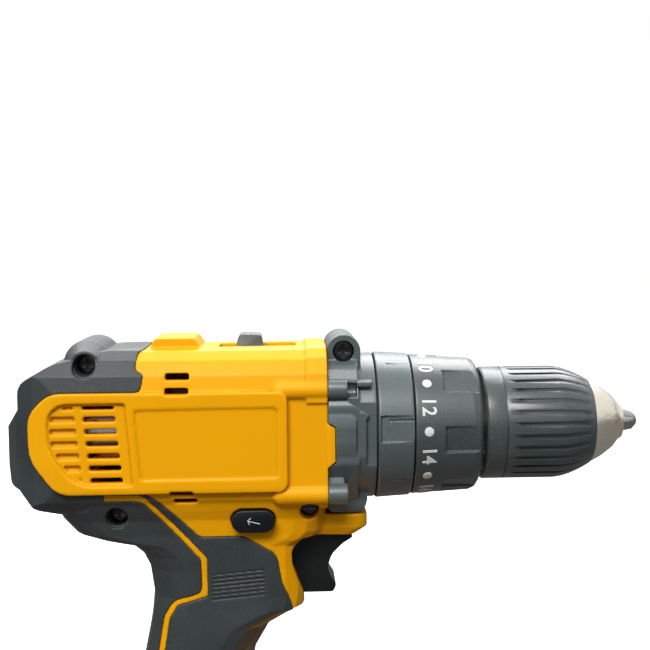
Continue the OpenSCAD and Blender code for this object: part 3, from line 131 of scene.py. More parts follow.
def join(pieces, name):
    """Makes one named piece of several."""
    only(*pieces)
    if len(pieces) > 1:
        bpy.ops.object.join()
    piece = bpy.context.view_layer.objects.active
    piece.name = piece.data.name = name
    return piece


def solid_copy(node, name):
    """A merged copy of a CAD solid, ready to be worked on."""
    piece = bpy.data.objects.new(name, frame["nodes"][node].data.copy())
    piece.data.name = name
    bpy.context.collection.objects.link(piece)
    piece.data.materials.clear()
    edit(piece, lambda: bpy.ops.mesh.remove_doubles(threshold=MERGE))
    return piece


def mark_edges(piece):
    """Stores how proud or sunk each vertex is beside its neighbours, for rubbed edges and for painted shade in
    grooves.
    """
    mesh = piece.data
    count = len(mesh.vertices)
    place = np.empty(count * 3)
    mesh.vertices.foreach_get("co", place)
    place = place.reshape(-1, 3)
    normal = np.empty(count * 3, dtype=np.float32)
    mesh.vertex_normals.foreach_get("vector", normal)
    normal = normal.reshape(-1, 3)
    pairs = np.empty(len(mesh.edges) * 2, dtype=np.int64)
    mesh.edges.foreach_get("vertices", pairs)
    a, b = pairs.reshape(-1, 2).T
    step = place[b] - place[a]
    length = np.linalg.norm(step, axis=1) + 1e-9
    bend = np.zeros(count)
    ways = np.zeros(count)
    np.add.at(bend, a, -(step * normal[a]).sum(1) / length)
    np.add.at(bend, b, (step * normal[b]).sum(1) / length)
    np.add.at(ways, a, 1)
    np.add.at(ways, b, 1)
    ways = np.maximum(ways, 1)
    bend = bend / ways * 3.0
    # the sunk places, spread wider to their neighbours, are later darkened as painted shade
    sunk = np.clip(-bend, 0, 1)
    for _ in range(3):
        around = np.zeros(count)
        np.add.at(around, a, sunk[b])
        np.add.at(around, b, sunk[a])
        sunk = np.maximum(sunk, around / ways)
    for name, values in (("proud", np.clip(bend, 0, 1)), ("sunk", sunk)):
        attribute = mesh.attributes.new(name, "FLOAT", "POINT")
        attribute.data.foreach_set("value", values.astype(np.float32))


def moulded(node, name, voxel, relax=3, faces=95000):
    """A moulding with softly rounded edges in place of the CAD solid."""
    piece = solid_copy(node, name)
    finish_with(piece, "REMESH", mode="VOXEL", voxel_size=voxel * MM)
    finish_with(piece, "SMOOTH", factor=0.5, iterations=relax)
    if len(piece.data.polygons) > faces:
        finish_with(piece, "DECIMATE", ratio=faces / len(piece.data.polygons))
    only(piece)
    bpy.ops.object.shade_smooth()
    return dressed(piece, node)


def machined(node, name, edge, smooth=34):
    """A crisp part whose edges are only just broken."""
    piece = solid_copy(node, name)
    edit(piece, lambda: bpy.ops.mesh.dissolve_limited(angle_limit=FLAT_ANGLE))
    if edge:
        finish_with(piece, "BEVEL", width=edge * MM, segments=2, limit_method="ANGLE",
                    angle_limit=BREAK_ANGLE, miter_outer="MITER_ARC")
    only(piece)
    bpy.ops.object.shade_smooth_by_angle(angle=math.radians(smooth))
    return dressed(piece, node)


def dressed(piece, *nodes):
    """Puts a finished piece on its body in place of its CAD nodes."""
    mark_edges(piece)
    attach(piece, BODY_OF[nodes[0]])
    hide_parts(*nodes)
    return piece


def paint(piece, *materials):
    """Gives a piece these finishes alone."""
    piece.data.materials.clear()
    for material in materials:
        piece.data.materials.append(material)


# ---------- shader groups ----------

class Nodes:
    """A small hand for laying out nodes in a tree."""

    def __init__(self, tree):
        self.tree = tree

    def add(self, kind, **values):
        node = self.tree.nodes.new(kind)
        for key, value in values.items():
            setattr(node, key, value)
        return node

    def link(self, source, target):
        self.tree.links.new(source, target)

    def math(self, operation, a, b=0.5):
        node = self.add("ShaderNodeMath", operation=operation)
        for socket, value in zip(node.inputs, (a, b)):
            if isinstance(value, (int, float)):
                socket.default_value = value
            else:
                self.link(value, socket)
        return node.outputs[0]

    def noise(self, vector, scale, detail=2.0, rough=0.5):
        node = self.add("ShaderNodeTexNoise")
        if isinstance(scale, (int, float)):
            node.inputs["Scale"].default_value = scale
        else:
            self.link(scale, node.inputs["Scale"])
        node.inputs["Detail"].default_value = detail
        node.inputs["Roughness"].default_value = rough
        self.link(vector, node.inputs["Vector"])
        return node.outputs["Fac"]

    def spread(self, value, low, high, to_low=0.0, to_high=1.0):
        node = self.add("ShaderNodeMapRange")
        self.link(value, node.inputs["Value"])
        for label, number in (("From Min", low), ("From Max", high), ("To Min", to_low), ("To Max", to_high)):
            if isinstance(number, (int, float)):
                node.inputs[label].default_value = number
            else:
                self.link(number, node.inputs[label])
        return node.outputs["Result"]

    def blend(self, factor, a, b):
        node = self.add("ShaderNodeMix", data_type="RGBA")
        self.link(factor, node.inputs[0])
        for socket, value in ((node.inputs[6], a), (node.inputs[7], b)):
            if isinstance(value, (tuple, list)):
                socket.default_value = (*value[:3], 1)
            else:
                self.link(value, socket)
        return node.outputs[2]


def shader_group(name, inputs, outputs):
    """An empty node group with the named sockets."""
    tree = bpy.data.node_groups.new(name, "ShaderNodeTree")
    for label, value in inputs:
        kind = "NodeSocketVector" if value is None else "NodeSocketFloat"
        socket = tree.interface.new_socket(name=label, in_out="INPUT", socket_type=kind)
        if value is not None:
            socket.default_value = value
    for label in outputs:
        tree.interface.new_socket(name=label, in_out="OUTPUT", socket_type="NodeSocketFloat")
    lay = Nodes(tree)
    return tree, lay, lay.add("NodeGroupInput"), lay.add("NodeGroupOutput")


def moulded_grain_group():
    """Fine moulded grain with slow patches over it."""
    tree, lay, given, out = shader_group(
        "Moulded grain", [("Vector", None), ("Grain", 2600.0), ("Patches", 45.0)], ["Height", "Patch", "Speck"])
    fine = lay.noise(given.outputs["Vector"], given.outputs["Grain"], 3.0, 0.6)
    patch = lay.noise(given.outputs["Vector"], given.outputs["Patches"], 4.0, 0.55)
    lay.link(lay.spread(fine, 0.25, 0.75), out.inputs["Height"])
    lay.link(lay.spread(patch, 0.3, 0.7), out.inputs["Patch"])
    lay.link(lay.spread(fine, 0.55, 0.72), out.inputs["Speck"])
    return tree


def rubbed_edge_group():
    """Where handling has rubbed the proud edges, and where painted shade darkens the sunk places."""
    tree, lay, given, out = shader_group(
        "Rubbed edges and crease shade", [("Vector", None), ("Amount", 0.5), ("Start", 0.35)], ["Mask", "Crease shade"])
    proud = lay.add("ShaderNodeAttribute", attribute_name="proud")
    chips = lay.noise(given.outputs["Vector"], 700.0, 3.0, 0.65)
    worn = lay.math("MULTIPLY", proud.outputs["Fac"], lay.spread(chips, 0.3, 0.7, 0.35, 1.3))
    span = lay.math("ADD", given.outputs["Start"], 0.35)
    lay.link(lay.math("MULTIPLY", lay.spread(worn, given.outputs["Start"], span), given.outputs["Amount"]),
             out.inputs["Mask"])
    # painted shade mask: the sunk places
    sunk = lay.add("ShaderNodeAttribute", attribute_name="sunk")
    lay.link(lay.spread(sunk.outputs["Fac"], 0.08, 0.55), out.inputs["Crease shade"])
    return tree


def turned_group():
    """Fine rings left by turning about the drive axis."""
    tree, lay, given, out = shader_group(
        "Turned rings", [("Vector", None), ("Spacing", 3200.0)], ["Height", "Streak"])
    parts = lay.add("ShaderNodeSeparateXYZ")
    lay.link(given.outputs["Vector"], parts.inputs[0])
    along = lay.add("ShaderNodeCombineXYZ")
    lay.link(lay.math("MULTIPLY", parts.outputs[0], given.outputs["Spacing"]), along.inputs[0])
    rings = lay.noise(along.outputs[0], 1.0, 3.0, 0.7)
    lay.link(rings, out.inputs["Height"])
    lay.link(lay.spread(rings, 0.35, 0.65), out.inputs["Streak"])
    return tree


def use_group(lay, tree, vector, **values):
    """Places a group in a material with its own values."""
    node = lay.add("ShaderNodeGroup", node_tree=tree)
    lay.link(vector, node.inputs["Vector"])
    for label, value in values.items():
        node.inputs[label.replace("_", " ")].default_value = value
    return node


def blank_material(name):
    """A material with a shader, its output and the object's own coordinates."""
    material = bpy.data.materials.new(name)
    material.use_nodes = True
    tree = material.node_tree
    tree.nodes.clear()
    lay = Nodes(tree)
    shader = lay.add("ShaderNodeBsdfPrincipled")
    out = lay.add("ShaderNodeOutputMaterial")
    lay.link(shader.outputs[0], out.inputs["Surface"])
    where = lay.add("ShaderNodeTexCoord").outputs["Object"]
    return material, lay, shader, where


def bump(lay, shader, height, strength, distance):
    """Feeds a height into the shader's normal."""
    node = lay.add("ShaderNodeBump")
    node.inputs["Strength"].default_value = strength
    node.inputs["Distance"].default_value = distance
    lay.link(height, node.inputs["Height"])
    lay.link(node.outputs[0], shader.inputs["Normal"])


def plastic(name, colour, patch_colour, rub_colour, rough, grain=2600.0, depth=0.012, patches=45.0,
            rub=0.5, sheen_rough=0.12, specular=0.5, groove_shade=0.7, glint_speckle=0.0):
    """Moulded plastic or rubber: grain, slow colour patches, painted glints on the grain, painted shade in grooves
    and rubbed edges.
    """
    material, lay, shader, where = blank_material(name)
    grains = use_group(lay, GROUPS["grain"], where, Grain=grain, Patches=patches)
    edges = use_group(lay, GROUPS["rubbed"], where, Amount=rub)
    body = lay.blend(grains.outputs["Patch"], colour, patch_colour)
    # painted glints: the grain's specks lightened towards the rub colour, standing for glints off the spark-eroded
    # grain
    if glint_speckle:
        body = lay.blend(lay.math("MULTIPLY", grains.outputs["Speck"], glint_speckle), body, rub_colour)
    # painted shade: sunk places darkened towards 0.12 of the colour
    body = lay.blend(lay.math("MULTIPLY", edges.outputs["Crease shade"], groove_shade), body, [c * 0.12 for c in colour])
    lay.link(lay.blend(edges.outputs["Mask"], body, rub_colour), shader.inputs["Base Color"])
    dull = lay.spread(grains.outputs["Patch"], 0.0, 1.0, rough - sheen_rough / 2, rough + sheen_rough / 2)
    dull = lay.math("SUBTRACT", dull, lay.math("MULTIPLY", edges.outputs["Mask"], 0.12))
    lay.link(dull, shader.inputs["Roughness"])
    bump(lay, shader, grains.outputs["Height"], 0.6, depth * MM)
    shader.inputs["Specular IOR Level"].default_value = specular
    return material


def metal(name, colour, shade, rough, spacing=3200.0, depth=0.004, rub=0.4, metallic=1.0):
    """Turned or ground metal: fine rings, streaks and bright edges."""
    material, lay, shader, where = blank_material(name)
    turned = use_group(lay, GROUPS["turned"], where, Spacing=spacing)
    grains = use_group(lay, GROUPS["grain"], where, Grain=1400.0, Patches=90.0)
    edges = use_group(lay, GROUPS["rubbed"], where, Amount=rub)
    streaky = lay.blend(turned.outputs["Streak"], colour, shade)
    patchy = lay.blend(lay.math("MULTIPLY", grains.outputs["Patch"], 0.35), streaky, shade)
    lay.link(lay.blend(edges.outputs["Mask"], patchy, [min(1.0, c * 1.35) for c in colour]),
             shader.inputs["Base Color"])
    dull = lay.spread(turned.outputs["Streak"], 0.0, 1.0, rough - 0.05, rough + 0.07)
    dull = lay.math("ADD", dull, lay.math("MULTIPLY", grains.outputs["Speck"], 0.06))
    lay.link(dull, shader.inputs["Roughness"])
    shader.inputs["Metallic"].default_value = metallic
    bump(lay, shader, turned.outputs["Height"], 0.5, depth * MM)
    return material


GROUPS = {}
FINISHES = {}


def make_finishes():
    """Every finish that the tool shows, keyed by the record's material slot or by use."""
    GROUPS.update(grain=moulded_grain_group(), rubbed=rubbed_edge_group(), turned=turned_group())
    tool = bpy.context.scene.drill_finish
    yellow = tuple(tool.yellow)
    black = tuple(tool.black)
    rubber = tuple(tool.rubber)
    nose = tuple(tool.nose)
    FINISHES.update({
        "housing_yellow": plastic("Yellow housing plastic", yellow, (yellow[0] * 0.97, yellow[1] * 0.93, 0.001),
                                  (1.0, 0.6, 0.03), 0.4, grain=1500.0, depth=0.008, rub=0.35, specular=0.16,
                                  groove_shade=0.5),
        "rubber_black": plastic("Soft-touch rubber", rubber, [c * 1.5 for c in rubber], [c * 2.9 for c in rubber],
                                0.5, grain=1900.0, depth=0.05, rub=0.8, sheen_rough=0.16, specular=0.4,
                                glint_speckle=0.5),
        "plastic_black": plastic("Black spark-eroded plastic", black, [c * 1.3 for c in black],
                                 [c * 4.0 for c in black], 0.35, grain=2300.0, depth=0.03, rub=0.5,
                                 specular=0.8, glint_speckle=0.45, groove_shade=0.95),
        "plastic_grey": plastic("Grey glass-filled nylon", [c * 1.8 for c in black], [c * 2.3 for c in black],
                                [c * 4.5 for c in black], 0.35, grain=2100.0, depth=0.03, rub=0.5,
                                specular=0.7, glint_speckle=0.35, groove_shade=0.85),
        "plastic_dark": plastic("Dark satin plastic", [c * 1.4 for c in black], [c * 1.7 for c in black],
                                [c * 4.0 for c in black], 0.46, grain=1800.0, depth=0.02, rub=0.4),
        "plastic_red": plastic("Red button plastic", (0.42, 0.02, 0.012), (0.36, 0.015, 0.01), (0.6, 0.1, 0.06),
                               0.34, grain=1600.0, depth=0.01),
        "steel": metal("Ground steel", (0.56, 0.57, 0.59), (0.4, 0.41, 0.43), 0.3),
        "steel_dark": metal("Oiled dark steel", (0.07, 0.07, 0.073), (0.04, 0.04, 0.043), 0.3),
        "control_black": plastic("Polished black control", [c * 0.15 for c in black], [c * 0.25 for c in black],
                                 [c * 1.2 for c in black], 0.3, grain=1500.0, depth=0.01, rub=0.3, specular=0.2),
        "nose_metal": metal("Turned nose metal", nose, [c * 0.93 for c in nose], 0.28, spacing=2600.0, depth=0.002,
                            metallic=0.85),
        "jaw_steel": metal("Jaw steel", (0.5, 0.48, 0.44), (0.3, 0.29, 0.27), 0.3),
        "copper": metal("Copper windings", (0.72, 0.33, 0.17), (0.5, 0.2, 0.09), 0.32),
        "brass": metal("Turned brass", (0.75, 0.55, 0.24), (0.6, 0.42, 0.17), 0.28),
        "cell_wrap": plastic("Cell sleeve", (0.03, 0.16, 0.2), (0.02, 0.12, 0.16), (0.1, 0.3, 0.35), 0.3),
        "wire_red": plastic("Wire insulation", (0.38, 0.02, 0.015), (0.3, 0.015, 0.012), (0.5, 0.08, 0.06), 0.36),
        "marks": plastic("White print", (0.82, 0.83, 0.82), (0.74, 0.75, 0.74), (0.6, 0.6, 0.6), 0.5,
                         grain=2400.0, depth=0.012, rub=0.3),
        "lamp_clear": lamp_finish(),
    })


def lamp_finish():
    """Clear lamp lens with a warm chip behind it."""
    material, lay, shader, where = blank_material("Lamp lens")
    grains = use_group(lay, GROUPS["grain"], where, Grain=900.0, Patches=300.0)
    tint = lay.blend(grains.outputs["Patch"], (0.85, 0.88, 0.92), (0.95, 0.93, 0.8))
    lay.link(tint, shader.inputs["Base Color"])
    lay.link(lay.spread(grains.outputs["Patch"], 0.0, 1.0, 0.05, 0.14), shader.inputs["Roughness"])
    shader.inputs["Coat Weight"].default_value = 0.6
    bump(lay, shader, grains.outputs["Height"], 0.2, 0.01 * MM)
    return material


# ---------- settings ----------

class DrillFinishSettings(bpy.types.PropertyGroup):
    """Colours of the tool's own finishes."""
    yellow: bpy.props.FloatVectorProperty(
        name="Housing", description="Colour of the housing's plastic", subtype="COLOR", size=3,
        min=0, max=1, default=(0.95, 0.43, 0.001))
    black: bpy.props.FloatVectorProperty(
        name="Collars", description="Colour of the gearbox case, collars and sleeve", subtype="COLOR", size=3,
        min=0, max=1, default=(0.042, 0.053, 0.054))
    rubber: bpy.props.FloatVectorProperty(
        name="Rubber", description="Colour of the soft grip rubber", subtype="COLOR", size=3,
        min=0, max=1, default=(0.026, 0.032, 0.034))
    nose: bpy.props.FloatVectorProperty(
        name="Nose", description="Colour of the chuck's metal nose", subtype="COLOR", size=3,
        min=0, max=1, default=(0.82, 0.76, 0.64))


class DrillMarkSettings(bpy.types.PropertyGroup):
    """Sizes of the printed marks."""
    digit_height: bpy.props.FloatProperty(
        name="Digit height", description="Height of the torque ring's numbers", unit="LENGTH",
        default=4.4 * MM, min=2 * MM, max=6 * MM)
    dot_size: bpy.props.FloatProperty(
        name="Dot size", description="Width of the dots between the numbers", unit="LENGTH",
        default=2.9 * MM, min=1 * MM, max=4 * MM)
    first_angle: bpy.props.FloatProperty(
        name="First number", description="Where number 10 stands above the drive axis on the right side",
        subtype="ANGLE", default=math.radians(62))


class DrillStageSettings(bpy.types.PropertyGroup):
    """Light and lens of the stage."""
    top_power: bpy.props.FloatProperty(
        name="Top light", description="Power of the overhead softbox", unit="POWER", default=17.0, min=0)
    side_power: bpy.props.FloatProperty(
        name="Side light", description="Power of the softbox beside the camera", unit="POWER", default=15.0, min=0)
    low_power: bpy.props.FloatProperty(
        name="Low light", description="Power of the low fill beside the camera", unit="POWER", default=0.8, min=0)
    lens: bpy.props.FloatProperty(
        name="Lens", description="Focal length of the camera", subtype="DISTANCE_CAMERA", default=63.415, min=10)


# ---------- pieces ----------

def line_wells(piece):
    """Gives the walls of the rear screw wells the dark rubber finish, as painted shade in the deep wells."""
    spots = [at(x, 0, z) for x, z in SCREW_WELLS]
    for face in piece.data.polygons:
        middle = face.center
        for spot in spots:
            away = math.hypot(middle.x - spot.x, middle.z - spot.z)
            if away < WELL_RADIUS and abs(middle.y) > WELL_START:
                # painted shade: the deep well walls take the dark rubber finish
                face.material_index = 1


class DRILL_OT_housing(bpy.types.Operator):
    """Both halves of the yellow housing, with softly rounded edges"""
    bl_idname = "drill.housing"
    bl_label = "Housing"

    def execute(self, context):
        for side in ("right", "left"):
            piece = moulded(f"{side}_shell", f"{side}_housing_half", 0.36)
            paint(piece, FINISHES["housing_yellow"], FINISHES["rubber_black"])
            line_wells(piece)
        return {"FINISHED"}


class DRILL_OT_rubber(bpy.types.Operator):
    """The soft rubber over the rear cap and the grip"""
    bl_idname = "drill.rubber"
    bl_label = "Rubber"

    def execute(self, context):
        for side in ("right", "left"):
            piece = moulded(f"{side}_overmold", f"{side}_grip_rubber", 0.26, relax=1)
            paint(piece, FINISHES["rubber_black"])
        return {"FINISHED"}


class DRILL_OT_gearbox(bpy.types.Operator):
    """The gearbox case in front of the housing"""
    bl_idname = "drill.gearbox"
    bl_label = "Gearbox case"

    def execute(self, context):
        piece = moulded("gearbox_case", "gearbox_housing", 0.25, relax=2, faces=75000)
        paint(piece, FINISHES["plastic_grey"])
        return {"FINISHED"}


class DRILL_OT_collars(bpy.types.Operator):
    """The mode ring and the torque ring"""
    bl_idname = "drill.collars"
    bl_label = "Collars"

    def execute(self, context):
        for node, name, finish in (("mode_ring", "mode_collar_ring", "plastic_grey"),
                                   ("torque_ring", "torque_collar_ring", "plastic_black")):
            paint(moulded(node, name, 0.22, relax=1, faces=80000), FINISHES[finish])
        return {"FINISHED"}


def ring_radius(x):
    """The torque ring's outer radius at x, both in millimetres."""
    return RING_RADIUS - (x - RING_START) / RING_TAPER


def wrap_on_ring(piece, angle):
    """Lays a flat mark on the torque ring: its top points forwards and its reading runs downwards."""
    for vertex in piece.data.vertices:
        across, along, out = vertex.co
        x = MARKS_MIDDLE + along / MM
        radius = ring_radius(x) * MM + out
        turn = angle - across / (ring_radius(x) * MM)
        vertex.co = at(x, 0, 0) + Vector((0, -radius * math.cos(turn), radius * math.sin(turn)))


class DRILL_OT_marks(bpy.types.Operator):
    """Plain numbers and dots round the torque ring"""
    bl_idname = "drill.marks"
    bl_label = "Torque marks"

    def execute(self, context):
        size = context.scene.drill_marks
        pieces = []
        for step, number in enumerate(NUMBERS):
            angle = size.first_angle - step * MARK_STEP
            bpy.ops.object.text_add()
            words = context.active_object
            words.data.body = str(number)
            words.data.align_x = "CENTER"
            words.data.align_y = "CENTER"
            words.data.size = size.digit_height * 1.4
            words.data.extrude = MARK_THICKNESS / 2
            words.data.offset = 0.12 * MM
            only(words)
            bpy.ops.object.convert(target="MESH")
            digit = context.active_object
            settle(digit)
            edit(digit, lambda: bpy.ops.mesh.remove_doubles(threshold=0.001 * MM))
            finish_with(digit, "REMESH", mode="VOXEL", voxel_size=0.13 * MM)
            finish_with(digit, "SMOOTH", factor=0.5, iterations=2)
            wrap_on_ring(digit, angle)
            pieces.append(digit)
            bpy.ops.mesh.primitive_cylinder_add(vertices=28, radius=size.dot_size / 2, depth=MARK_THICKNESS)
            dot = context.active_object
            settle(dot)
            finish_with(dot, "BEVEL", width=0.08 * MM, segments=2)
            wrap_on_ring(dot, angle + MARK_STEP / 2)
            pieces.append(dot)
        marks = join(pieces, "torque_marks")
        only(marks)
        bpy.ops.object.shade_smooth_by_angle(angle=math.radians(40))
        edit(marks, lambda: bpy.ops.mesh.normals_make_consistent(inside=False))
        mark_edges(marks)
        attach(marks, BODY_OF["torque_ring"])
        paint(marks, FINISHES["marks"])
        return {"FINISHED"}


class DRILL_OT_chuck(bpy.types.Operator):
    """The chuck's sleeve, its metal body and the three jaws"""
    bl_idname = "drill.chuck"
    bl_label = "Chuck"

    def execute(self, context):
        sleeve = machined("chuck_sleeve", "chuck_grip_sleeve", edge=0.12)
        paint(sleeve, FINISHES["plastic_black"])
        paint(machined("chuck_body", "chuck_nose_body", edge=0.3, smooth=30), FINISHES["nose_metal"])
        for number in (1, 2, 3):
            paint(machined(f"jaw_{number}", f"chuck_jaw_{number}", edge=0.2), FINISHES["jaw_steel"])
        return {"FINISHED"}


class DRILL_OT_controls(bpy.types.Operator):
    """Trigger, direction button and speed selector"""
    bl_idname = "drill.controls"
    bl_label = "Controls"

    def execute(self, context):
        paint(moulded("trigger", "trigger_lever", 0.3, faces=40000), FINISHES["control_black"])
        paint(machined("speed_selector", "speed_slider", edge=0.35), FINISHES["plastic_black"])
        bar = machined("direction_button", "direction_bar", edge=0.5)
        paint(bar, FINISHES["control_black"])
        corners = [Vector(corner) for corner in bar.bound_box]
        middle = sum(corners, Vector()) / 8
        strokes = []
        for side in (-1, 1):
            face = middle.y + side * (corners[2].y - corners[0].y) / 2
            for length, turn, along, up in ARROW_STROKES:
                bpy.ops.mesh.primitive_cube_add(size=1)
                stroke = context.active_object
                stroke.scale = (length * MM, 0.3 * MM, 0.22 * MM)
                stroke.rotation_euler.y = math.radians(-turn)
                stroke.location = (middle.x + along * MM, face, middle.z + up * MM)
                settle(stroke)
                finish_with(stroke, "BEVEL", width=0.06 * MM, segments=2)
                strokes.append(stroke)
        arrows = join(strokes, "direction_arrows")
        mark_edges(arrows)
        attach(arrows, BODY_OF["direction_button"])
        paint(arrows, FINISHES["marks"])
        return {"FINISHED"}


class DRILL_OT_battery(bpy.types.Operator):
    """The battery's case, lid and latch button"""
    bl_idname = "drill.battery"
    bl_label = "Battery"

    def execute(self, context):
        for node, name, voxel, finish in (
                ("battery_case", "battery_tub", 0.6, "plastic_black"),
                ("battery_lid", "battery_deck", 0.45, "plastic_dark")):
            paint(moulded(node, name, voxel, faces=55000), FINISHES[finish])
        paint(machined("latch_button", "battery_latch", edge=0.4), FINISHES["plastic_red"])
        return {"FINISHED"}


class DRILL_OT_fasteners(bpy.types.Operator):
    """Screws, threaded inserts and the lamp"""
    bl_idname = "drill.fasteners"
    bl_label = "Fasteners and lamp"

    def execute(self, context):
        for node in ("shell_screws", "case_screws", "battery_screws", "hook_inserts", "work_lamp"):
            piece = machined(node, node + "_shown", edge=0.08)
            paint(piece, FINISHES[SLOT_OF[node]])
        return {"FINISHED"}


class DRILL_OT_workings(bpy.types.Operator):
    """Finishes for the motor, gears, clutch, switch and cells, whose solids are shown as they are"""
    bl_idname = "drill.workings"
    bl_label = "Workings"

    def execute(self, context):
        for node, solid in frame["nodes"].items():
            solid.data.materials.clear()
            solid.data.materials.append(FINISHES[SLOT_OF[node]])
        return {"FINISHED"}


class DRILL_OT_springs(bpy.types.Operator):
    """The clutch and trigger springs, with a steel finish, each on a mesh of its own"""
    bl_idname = "drill.springs"
    bl_label = "Springs"

    def execute(self, context):
        for node, name, joint, travel in (("clutch_spring", "clutch_coil", "torque_turn", 4.98),
                                          ("trigger_spring", "trigger_coil", "trigger_squeeze", 6.55)):
            spring = machined(node, name, edge=0)
            paint(spring, FINISHES["steel"])
            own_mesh(spring)
        return {"FINISHED"}


# ---------- stage ----------

def floor_finish():
    """White to the camera, with its own glow only well away from the tool, so that the shadow shows."""
    material = bpy.data.materials.new("Studio floor")
    material.use_nodes = True
    tree = material.node_tree
    tree.nodes.clear()
    lay = Nodes(tree)
    path = lay.add("ShaderNodeLightPath")
    seen = lay.add("ShaderNodeBsdfDiffuse")
    seen.inputs["Color"].default_value = (0.68, 0.68, 0.68, 1)
    away = lay.add("ShaderNodeVectorMath", operation="LENGTH")
    lay.link(lay.add("ShaderNodeTexCoord").outputs["Object"], away.inputs[0])
    glow = lay.add("ShaderNodeEmission")
    lay.link(lay.spread(away.outputs["Value"], 0.15, 0.9, 0.0, 0.68), glow.inputs["Strength"])
    both = lay.add("ShaderNodeAddShader")
    lay.link(seen.outputs[0], both.inputs[0])
    lay.link(glow.outputs[0], both.inputs[1])
    quiet = lay.add("ShaderNodeBsdfDiffuse")
    quiet.inputs["Color"].default_value = (0.06, 0.06, 0.06, 1)
    mix = lay.add("ShaderNodeMixShader")
    seen_in_gloss = lay.math("MULTIPLY", path.outputs["Is Glossy Ray"], 0.08)
    lay.link(lay.math("MAXIMUM", path.outputs["Is Camera Ray"], seen_in_gloss), mix.inputs[0])
    lay.link(quiet.outputs[0], mix.inputs[1])
    lay.link(both.outputs[0], mix.inputs[2])
    out = lay.add("ShaderNodeOutputMaterial")
    lay.link(mix.outputs[0], out.inputs["Surface"])
    return material


def studio_world():
    """A white surround; the light it gives comes mostly from above."""
    world = bpy.data.worlds.new("Studio surround")
    bpy.context.scene.world = world
    world.use_nodes = True
    tree = world.node_tree
    tree.nodes.clear()
    lay = Nodes(tree)
    path = lay.add("ShaderNodeLightPath")
    way = lay.add("ShaderNodeTexCoord")
    parts = lay.add("ShaderNodeSeparateXYZ")
    lay.link(way.outputs["Generated"], parts.inputs[0])
    level = lay.spread(parts.outputs[2], 0.0, 0.9, 0.0, 0.75)
    shown = lay.math("MAXIMUM", path.outputs["Is Camera Ray"], path.outputs["Is Transmission Ray"])
    shown = lay.math("MAXIMUM", shown, lay.math("MULTIPLY", path.outputs["Is Glossy Ray"],
                                                lay.spread(parts.outputs[2], -0.05, 0.25)))
    strength = lay.spread(shown, 0.0, 1.0, level, 1.0)
    back = lay.add("ShaderNodeBackground")
    back.inputs["Color"].default_value = (1, 1, 1, 1)
    lay.link(strength, back.inputs["Strength"])
    out = lay.add("ShaderNodeOutputWorld")
    lay.link(back.outputs[0], out.inputs["Surface"])


def softbox(name, place, target, size, power):
    """A rectangular light at a place, turned to a target."""
    bpy.ops.object.light_add(type="AREA", location=place)
    lamp = bpy.context.active_object
    lamp.name = name
    lamp.data.shape = "RECTANGLE"
    lamp.data.size, lamp.data.size_y = size
    lamp.data.energy = power
    lamp.rotation_euler = (Vector(target) - Vector(place)).to_track_quat("-Z", "Y").to_euler()


CAMERA_PLACE = at(-14.625, -367.544, 58.213)
CAMERA_TURNS = tuple(math.radians(turn) for turn in (4.026, 2.314, -0.5))     # tilt, pan and roll


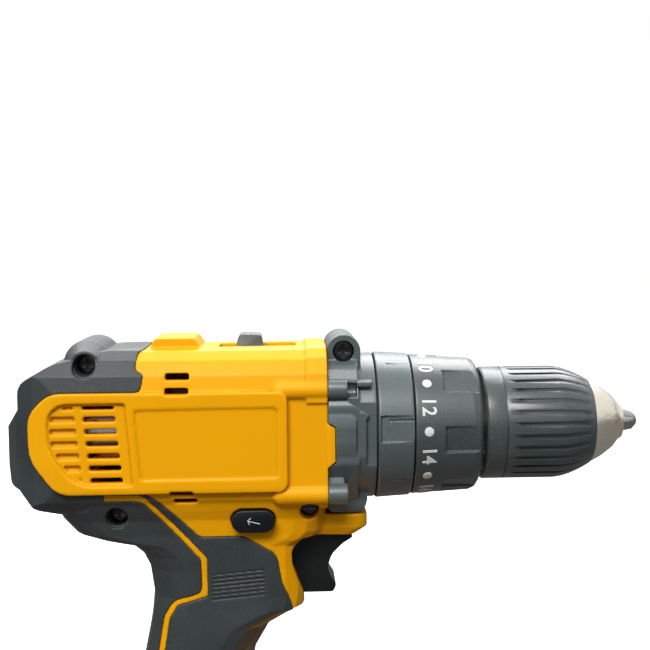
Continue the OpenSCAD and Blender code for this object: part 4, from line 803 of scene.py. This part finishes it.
class DRILL_OT_stage(bpy.types.Operator):
    """Pale floor, soft studio light and the camera"""
    bl_idname = "drill.stage"
    bl_label = "Stage"

    def execute(self, context):
        settings = context.scene.drill_stage
        bpy.ops.mesh.primitive_plane_add(size=8.0, location=(0, 0, 0))
        floor = context.active_object
        floor.name = "studio_floor"
        paint(floor, floor_finish())
        studio_world()
        softbox("top_softbox", (0.05, 0.6, 0.9), (0.03, 0.0, 0.15), (1.3, 0.6), settings.top_power)
        softbox("low_softbox", (-0.75, -1.25, 0.22), (0.0, 0.0, 0.1), (0.7, 0.3), settings.low_power)
        softbox("side_softbox", (-0.25, -0.85, 1.05), (0.03, 0.0, 0.14), (0.8, 0.45), settings.side_power)
        tilt, pan, roll = CAMERA_TURNS
        ahead = Vector((math.sin(pan) * math.cos(tilt), math.cos(pan) * math.cos(tilt), -math.sin(tilt)))
        right = ahead.cross(Vector((0, 0, 1))).normalized()
        up = right.cross(ahead)
        right, up = (right * math.cos(roll) + up * math.sin(roll), up * math.cos(roll) - right * math.sin(roll))
        bpy.ops.object.camera_add()
        camera = context.active_object
        camera.name = "product_camera"
        turn = Matrix((right, up, -ahead)).transposed().to_4x4()
        camera.matrix_world = Matrix.Translation(CAMERA_PLACE) @ turn
        camera.data.lens = settings.lens
        camera.data.sensor_width = 36
        camera.data.clip_start = 0.01
        context.scene.camera = camera
        context.scene.view_settings.view_transform = "Standard"
        return {"FINISHED"}


class DRILL_PT_panel(bpy.types.Panel):
    """Lists the drill's pieces and settings"""
    bl_label = "Cordless drill"
    bl_space_type = "VIEW_3D"
    bl_region_type = "UI"
    bl_category = "Drill"

    def draw(self, context):
        scene = context.scene
        for settings in (scene.drill_finish, scene.drill_marks, scene.drill_stage):
            box = self.layout.box()
            for name in settings.bl_rna.properties.keys():
                if name not in ("rna_type", "name"):
                    box.prop(settings, name)
        column = self.layout.column(align=True)
        for operator in OPERATORS:
            column.operator(operator.bl_idname)


SETTINGS = (DrillFinishSettings, DrillMarkSettings, DrillStageSettings)
OPERATORS = (DRILL_OT_workings, DRILL_OT_springs, DRILL_OT_housing, DRILL_OT_rubber, DRILL_OT_gearbox,
             DRILL_OT_collars, DRILL_OT_marks, DRILL_OT_chuck, DRILL_OT_controls, DRILL_OT_battery,
             DRILL_OT_fasteners, DRILL_OT_stage)


def register():
    for item in (*SETTINGS, *OPERATORS, DRILL_PT_panel):
        bpy.utils.register_class(item)
    bpy.types.Scene.drill_finish = bpy.props.PointerProperty(type=DrillFinishSettings)
    bpy.types.Scene.drill_marks = bpy.props.PointerProperty(type=DrillMarkSettings)
    bpy.types.Scene.drill_stage = bpy.props.PointerProperty(type=DrillStageSettings)


def unregister():
    del bpy.types.Scene.drill_finish, bpy.types.Scene.drill_marks, bpy.types.Scene.drill_stage
    for item in reversed((*SETTINGS, *OPERATORS, DRILL_PT_panel)):
        bpy.utils.unregister_class(item)


def main():
    """Makes the pieces in order."""
    register()
    make_finishes()
    for operator in OPERATORS:
        group, call = operator.bl_idname.split(".")
        getattr(getattr(bpy.ops, group), call)()


if __name__ == "__main__":
    main()
